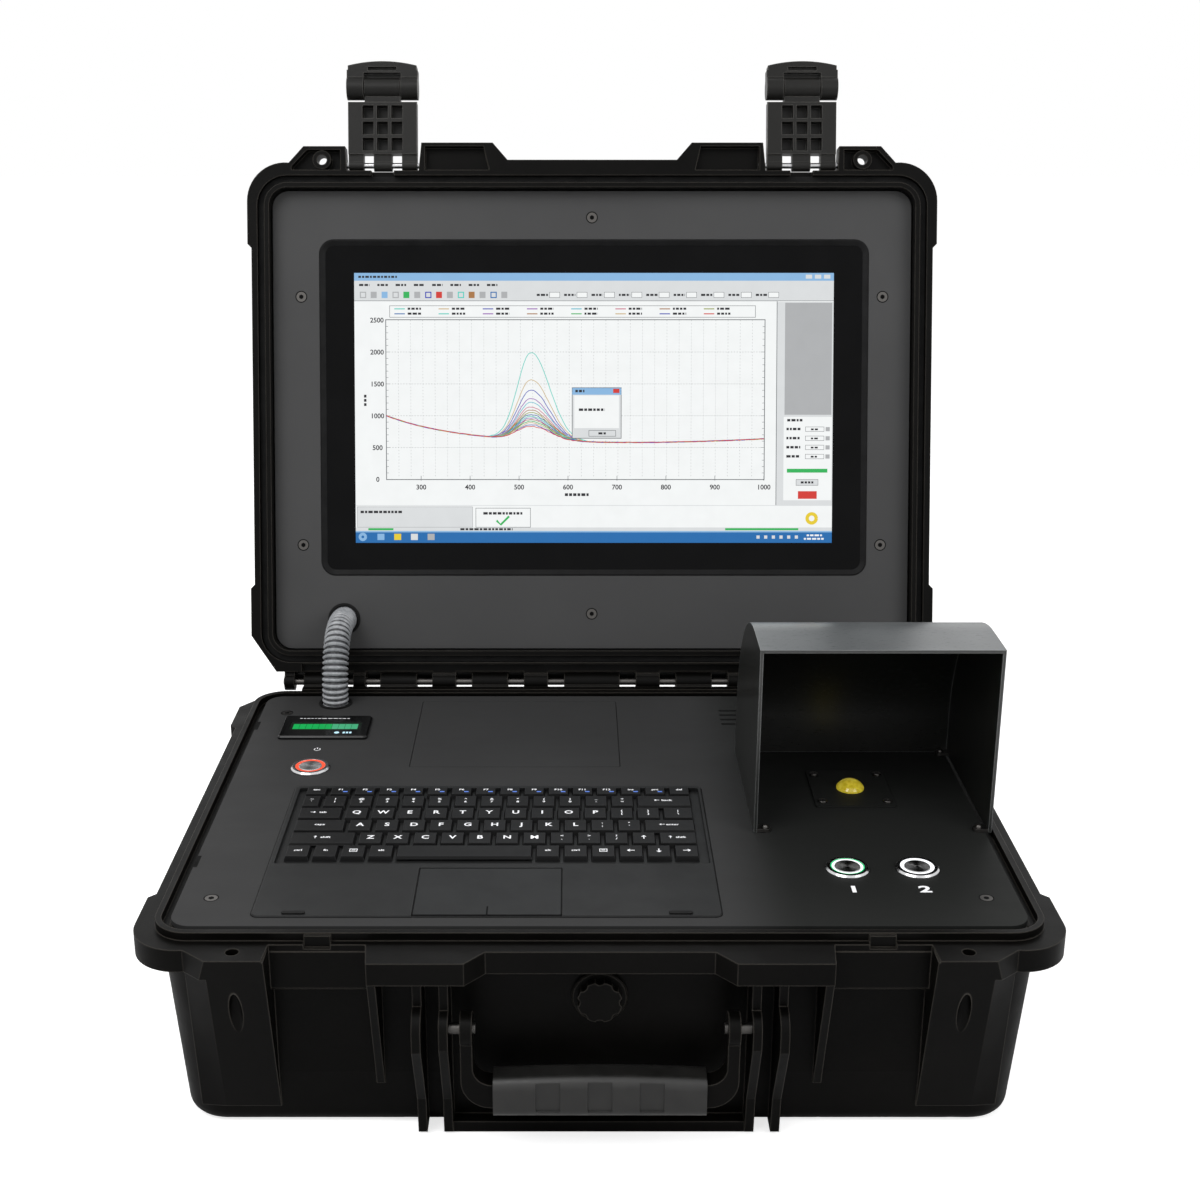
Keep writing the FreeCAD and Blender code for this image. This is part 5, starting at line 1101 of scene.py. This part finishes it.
def draw_footer(screen):
    """State fields under the chart and the task bar."""
    screen["pale"].rectangle(0, FOOTER_TOP, DOTS_WIDE, FOOTER_TOP + 2, 2)
    screen["pale"].rectangle(4, 664, 336, 724, 2)
    strokes(screen, "ink", 14, 676, 120, 7, 3, 101)
    screen["grey"].outline(4, 664, 336, 724, 1.4, 3)
    screen["white"].rectangle(344, 668, 502, 724, 2)
    screen["line"].outline(344, 668, 502, 724, 1.4, 3)
    strokes(screen, "ink", 366, 680, 112, 7, 3, 103)
    screen["green"].ribbon([(404, 704), (416, 716), (440, 692)], 6, 4)
    screen["pale"].rectangle(0, 724, DOTS_WIDE, TASK_BAR_TOP, 2)
    screen["green"].rectangle(36, 726, 108, 732, 3)
    strokes(screen, "ink", 300, 726, 150, 6, 3, 105)
    screen["green"].rectangle(1060, 726, 1270, 732, 3)
    screen["blue"].rectangle(0, TASK_BAR_TOP, DOTS_WIDE, DOTS_HIGH, 2)
    screen["sky"].rectangle(0, TASK_BAR_TOP, DOTS_WIDE, TASK_BAR_TOP + 4, 3)
    screen["sky"].ring(20, 751, 12, 4, 0, 360, 3)
    task_colours = ("sky", "yellow", "pale", "grey")
    for index, colour_name in enumerate(task_colours):
        x = 62 + index * 48
        screen[colour_name].rectangle(x, 742, x + 20, 760, 3)
    for index in range(6):
        x = 1150 + index * 22
        screen["pale"].rectangle(x, 747, x + 9, 756, 3)
    strokes(screen, "white", 1294, 744, 44, 5, 3, 107)
    strokes(screen, "white", 1286, 754, 58, 5, 3, 108)


def draw_message(screen):
    """Small window over the chart."""
    screen["pale"].rectangle(620, 324, 762, 470, 8)
    screen["sky"].rectangle(620, 324, 762, 345, 9)
    screen["white"].rectangle(627, 347, 755, 440, 9)
    screen["line"].outline(620, 324, 762, 470, 2.0, 9)
    strokes(screen, "ink", 630, 331, 26, 7, 10, 109)
    screen["red"].rectangle(738, 328, 756, 340, 10)
    strokes(screen, "ink", 640, 384, 74, 7, 10, 110)
    screen["pale"].rectangle(668, 446, 746, 464, 10)
    screen["line"].outline(668, 446, 746, 464, 1.4, 11)
    strokes(screen, "ink", 696, 452, 22, 6, 11, 111)


screen_picture = Screen()
screen_picture["white"].rectangle(0, 0, DOTS_WIDE, DOTS_HIGH, 0)
for draw in (draw_bars, draw_key, draw_chart, draw_side_panel, draw_footer, draw_message):
    draw(screen_picture)
screen_picture.build()


# Floor, backdrop, lamps and camera

FLOOR_GLOW = 0.72
WORLD_LEVEL = 0.34
WHITE = (1, 1, 1, 1)
FOCAL_PIXELS = 1718.0
PITCH_DOWN = 18.55
CENTRE_COLUMN = 569.6
FRAME_PIXELS = 1200.0
SENSOR = 36.0
CAMERA_PLACE = (-0.016, -0.972, 0.5754)


def build_stage():
    """Pale floor, brightened for the camera so that only the object's shadow shows on it."""
    mesh = bpy.data.meshes.new("floor")
    reach = 6.0
    level = -0.0005
    corners = ((-reach, -reach), (reach, -reach), (reach, reach), (-reach, reach))
    mesh.from_pydata([(x, y, level) for x, y in corners], [], [(0, 1, 2, 3)])
    floor = bpy.data.objects.new("floor", mesh)
    bpy.context.scene.collection.objects.link(floor)
    tree, shader = new_material("floor_white")
    shader.inputs["Roughness"].default_value = 0.9
    shader.inputs["Specular IOR Level"].default_value = 0.0
    place = object_coordinates(tree)
    tone = ramp(tree, noise(tree, place, 2.0, 2.0), (0.90, 0.90, 0.90), (0.92, 0.92, 0.92))
    tree.links.new(tone, shader.inputs["Base Color"])
    path = add_node(tree, "ShaderNodeLightPath")
    glow = add_node(tree, "ShaderNodeMath", operation="MULTIPLY")
    glow.inputs[1].default_value = FLOOR_GLOW
    tree.links.new(path.outputs["Is Camera Ray"], glow.inputs[0])
    tree.links.new(glow.outputs[0], shader.inputs["Emission Strength"])
    mesh.materials.append(materials["floor_white"])


def build_world():
    """Plain light on surfaces, and white for the camera and for what gloss and clear plastic show."""
    world = bpy.data.worlds.new("studio")
    bpy.context.scene.world = world
    world.use_nodes = True
    tree = world.node_tree
    tree.nodes.clear()
    output = add_node(tree, "ShaderNodeOutputWorld")
    path = add_node(tree, "ShaderNodeLightPath")
    through = add_node(tree, "ShaderNodeMath", operation="MAXIMUM")
    tree.links.new(path.outputs["Is Glossy Ray"], through.inputs[0])
    tree.links.new(path.outputs["Is Transmission Ray"], through.inputs[1])
    seen = add_node(tree, "ShaderNodeMath", operation="MAXIMUM")
    tree.links.new(path.outputs["Is Camera Ray"], seen.inputs[0])
    tree.links.new(through.outputs[0], seen.inputs[1])
    plain = add_node(tree, "ShaderNodeBackground", Color=WHITE, Strength=WORLD_LEVEL)
    white = add_node(tree, "ShaderNodeBackground", Color=WHITE, Strength=1.0)
    mix = add_node(tree, "ShaderNodeMixShader")
    tree.links.new(seen.outputs[0], mix.inputs[0])
    tree.links.new(plain.outputs[0], mix.inputs[1])
    tree.links.new(white.outputs[0], mix.inputs[2])
    tree.links.new(mix.outputs[0], output.inputs["Surface"])


def area_lamp(name, place, target, width, height, power):
    lamp = bpy.data.lights.new(name, "AREA")
    lamp.shape = "RECTANGLE"
    lamp.size = width
    lamp.size_y = height
    lamp.energy = power
    holder = bpy.data.objects.new(name, lamp)
    bpy.context.scene.collection.objects.link(holder)
    holder.location = place
    holder.rotation_euler = (Vector(target) - Vector(place)).to_track_quat("-Z", "Y").to_euler()


def build_camera():
    camera = bpy.data.cameras.new("camera")
    camera.sensor_width = SENSOR
    camera.lens = SENSOR * FOCAL_PIXELS / FRAME_PIXELS
    camera.shift_x = (FRAME_PIXELS / 2 - CENTRE_COLUMN) / FRAME_PIXELS
    holder = bpy.data.objects.new("camera", camera)
    bpy.context.scene.collection.objects.link(holder)
    holder.location = CAMERA_PLACE
    holder.rotation_euler = (math.radians(90 - PITCH_DOWN), 0, 0)
    bpy.context.scene.camera = holder


build_stage()
build_world()
area_lamp("key_lamp", (-0.9, -0.9, 1.7), (0, 0.05, 0.1), 1.2, 1.2, 16.0)
area_lamp("fill_lamp", (1.2, -1.0, 1.1), (0, 0, 0.15), 1.0, 1.0, 7.0)
area_lamp("rim_lamp", (0.1, 1.2, 1.6), (0, 0.1, 0.2), 1.6, 0.8, 10.0)
build_camera()
bpy.context.scene.view_settings.view_transform = "Standard"
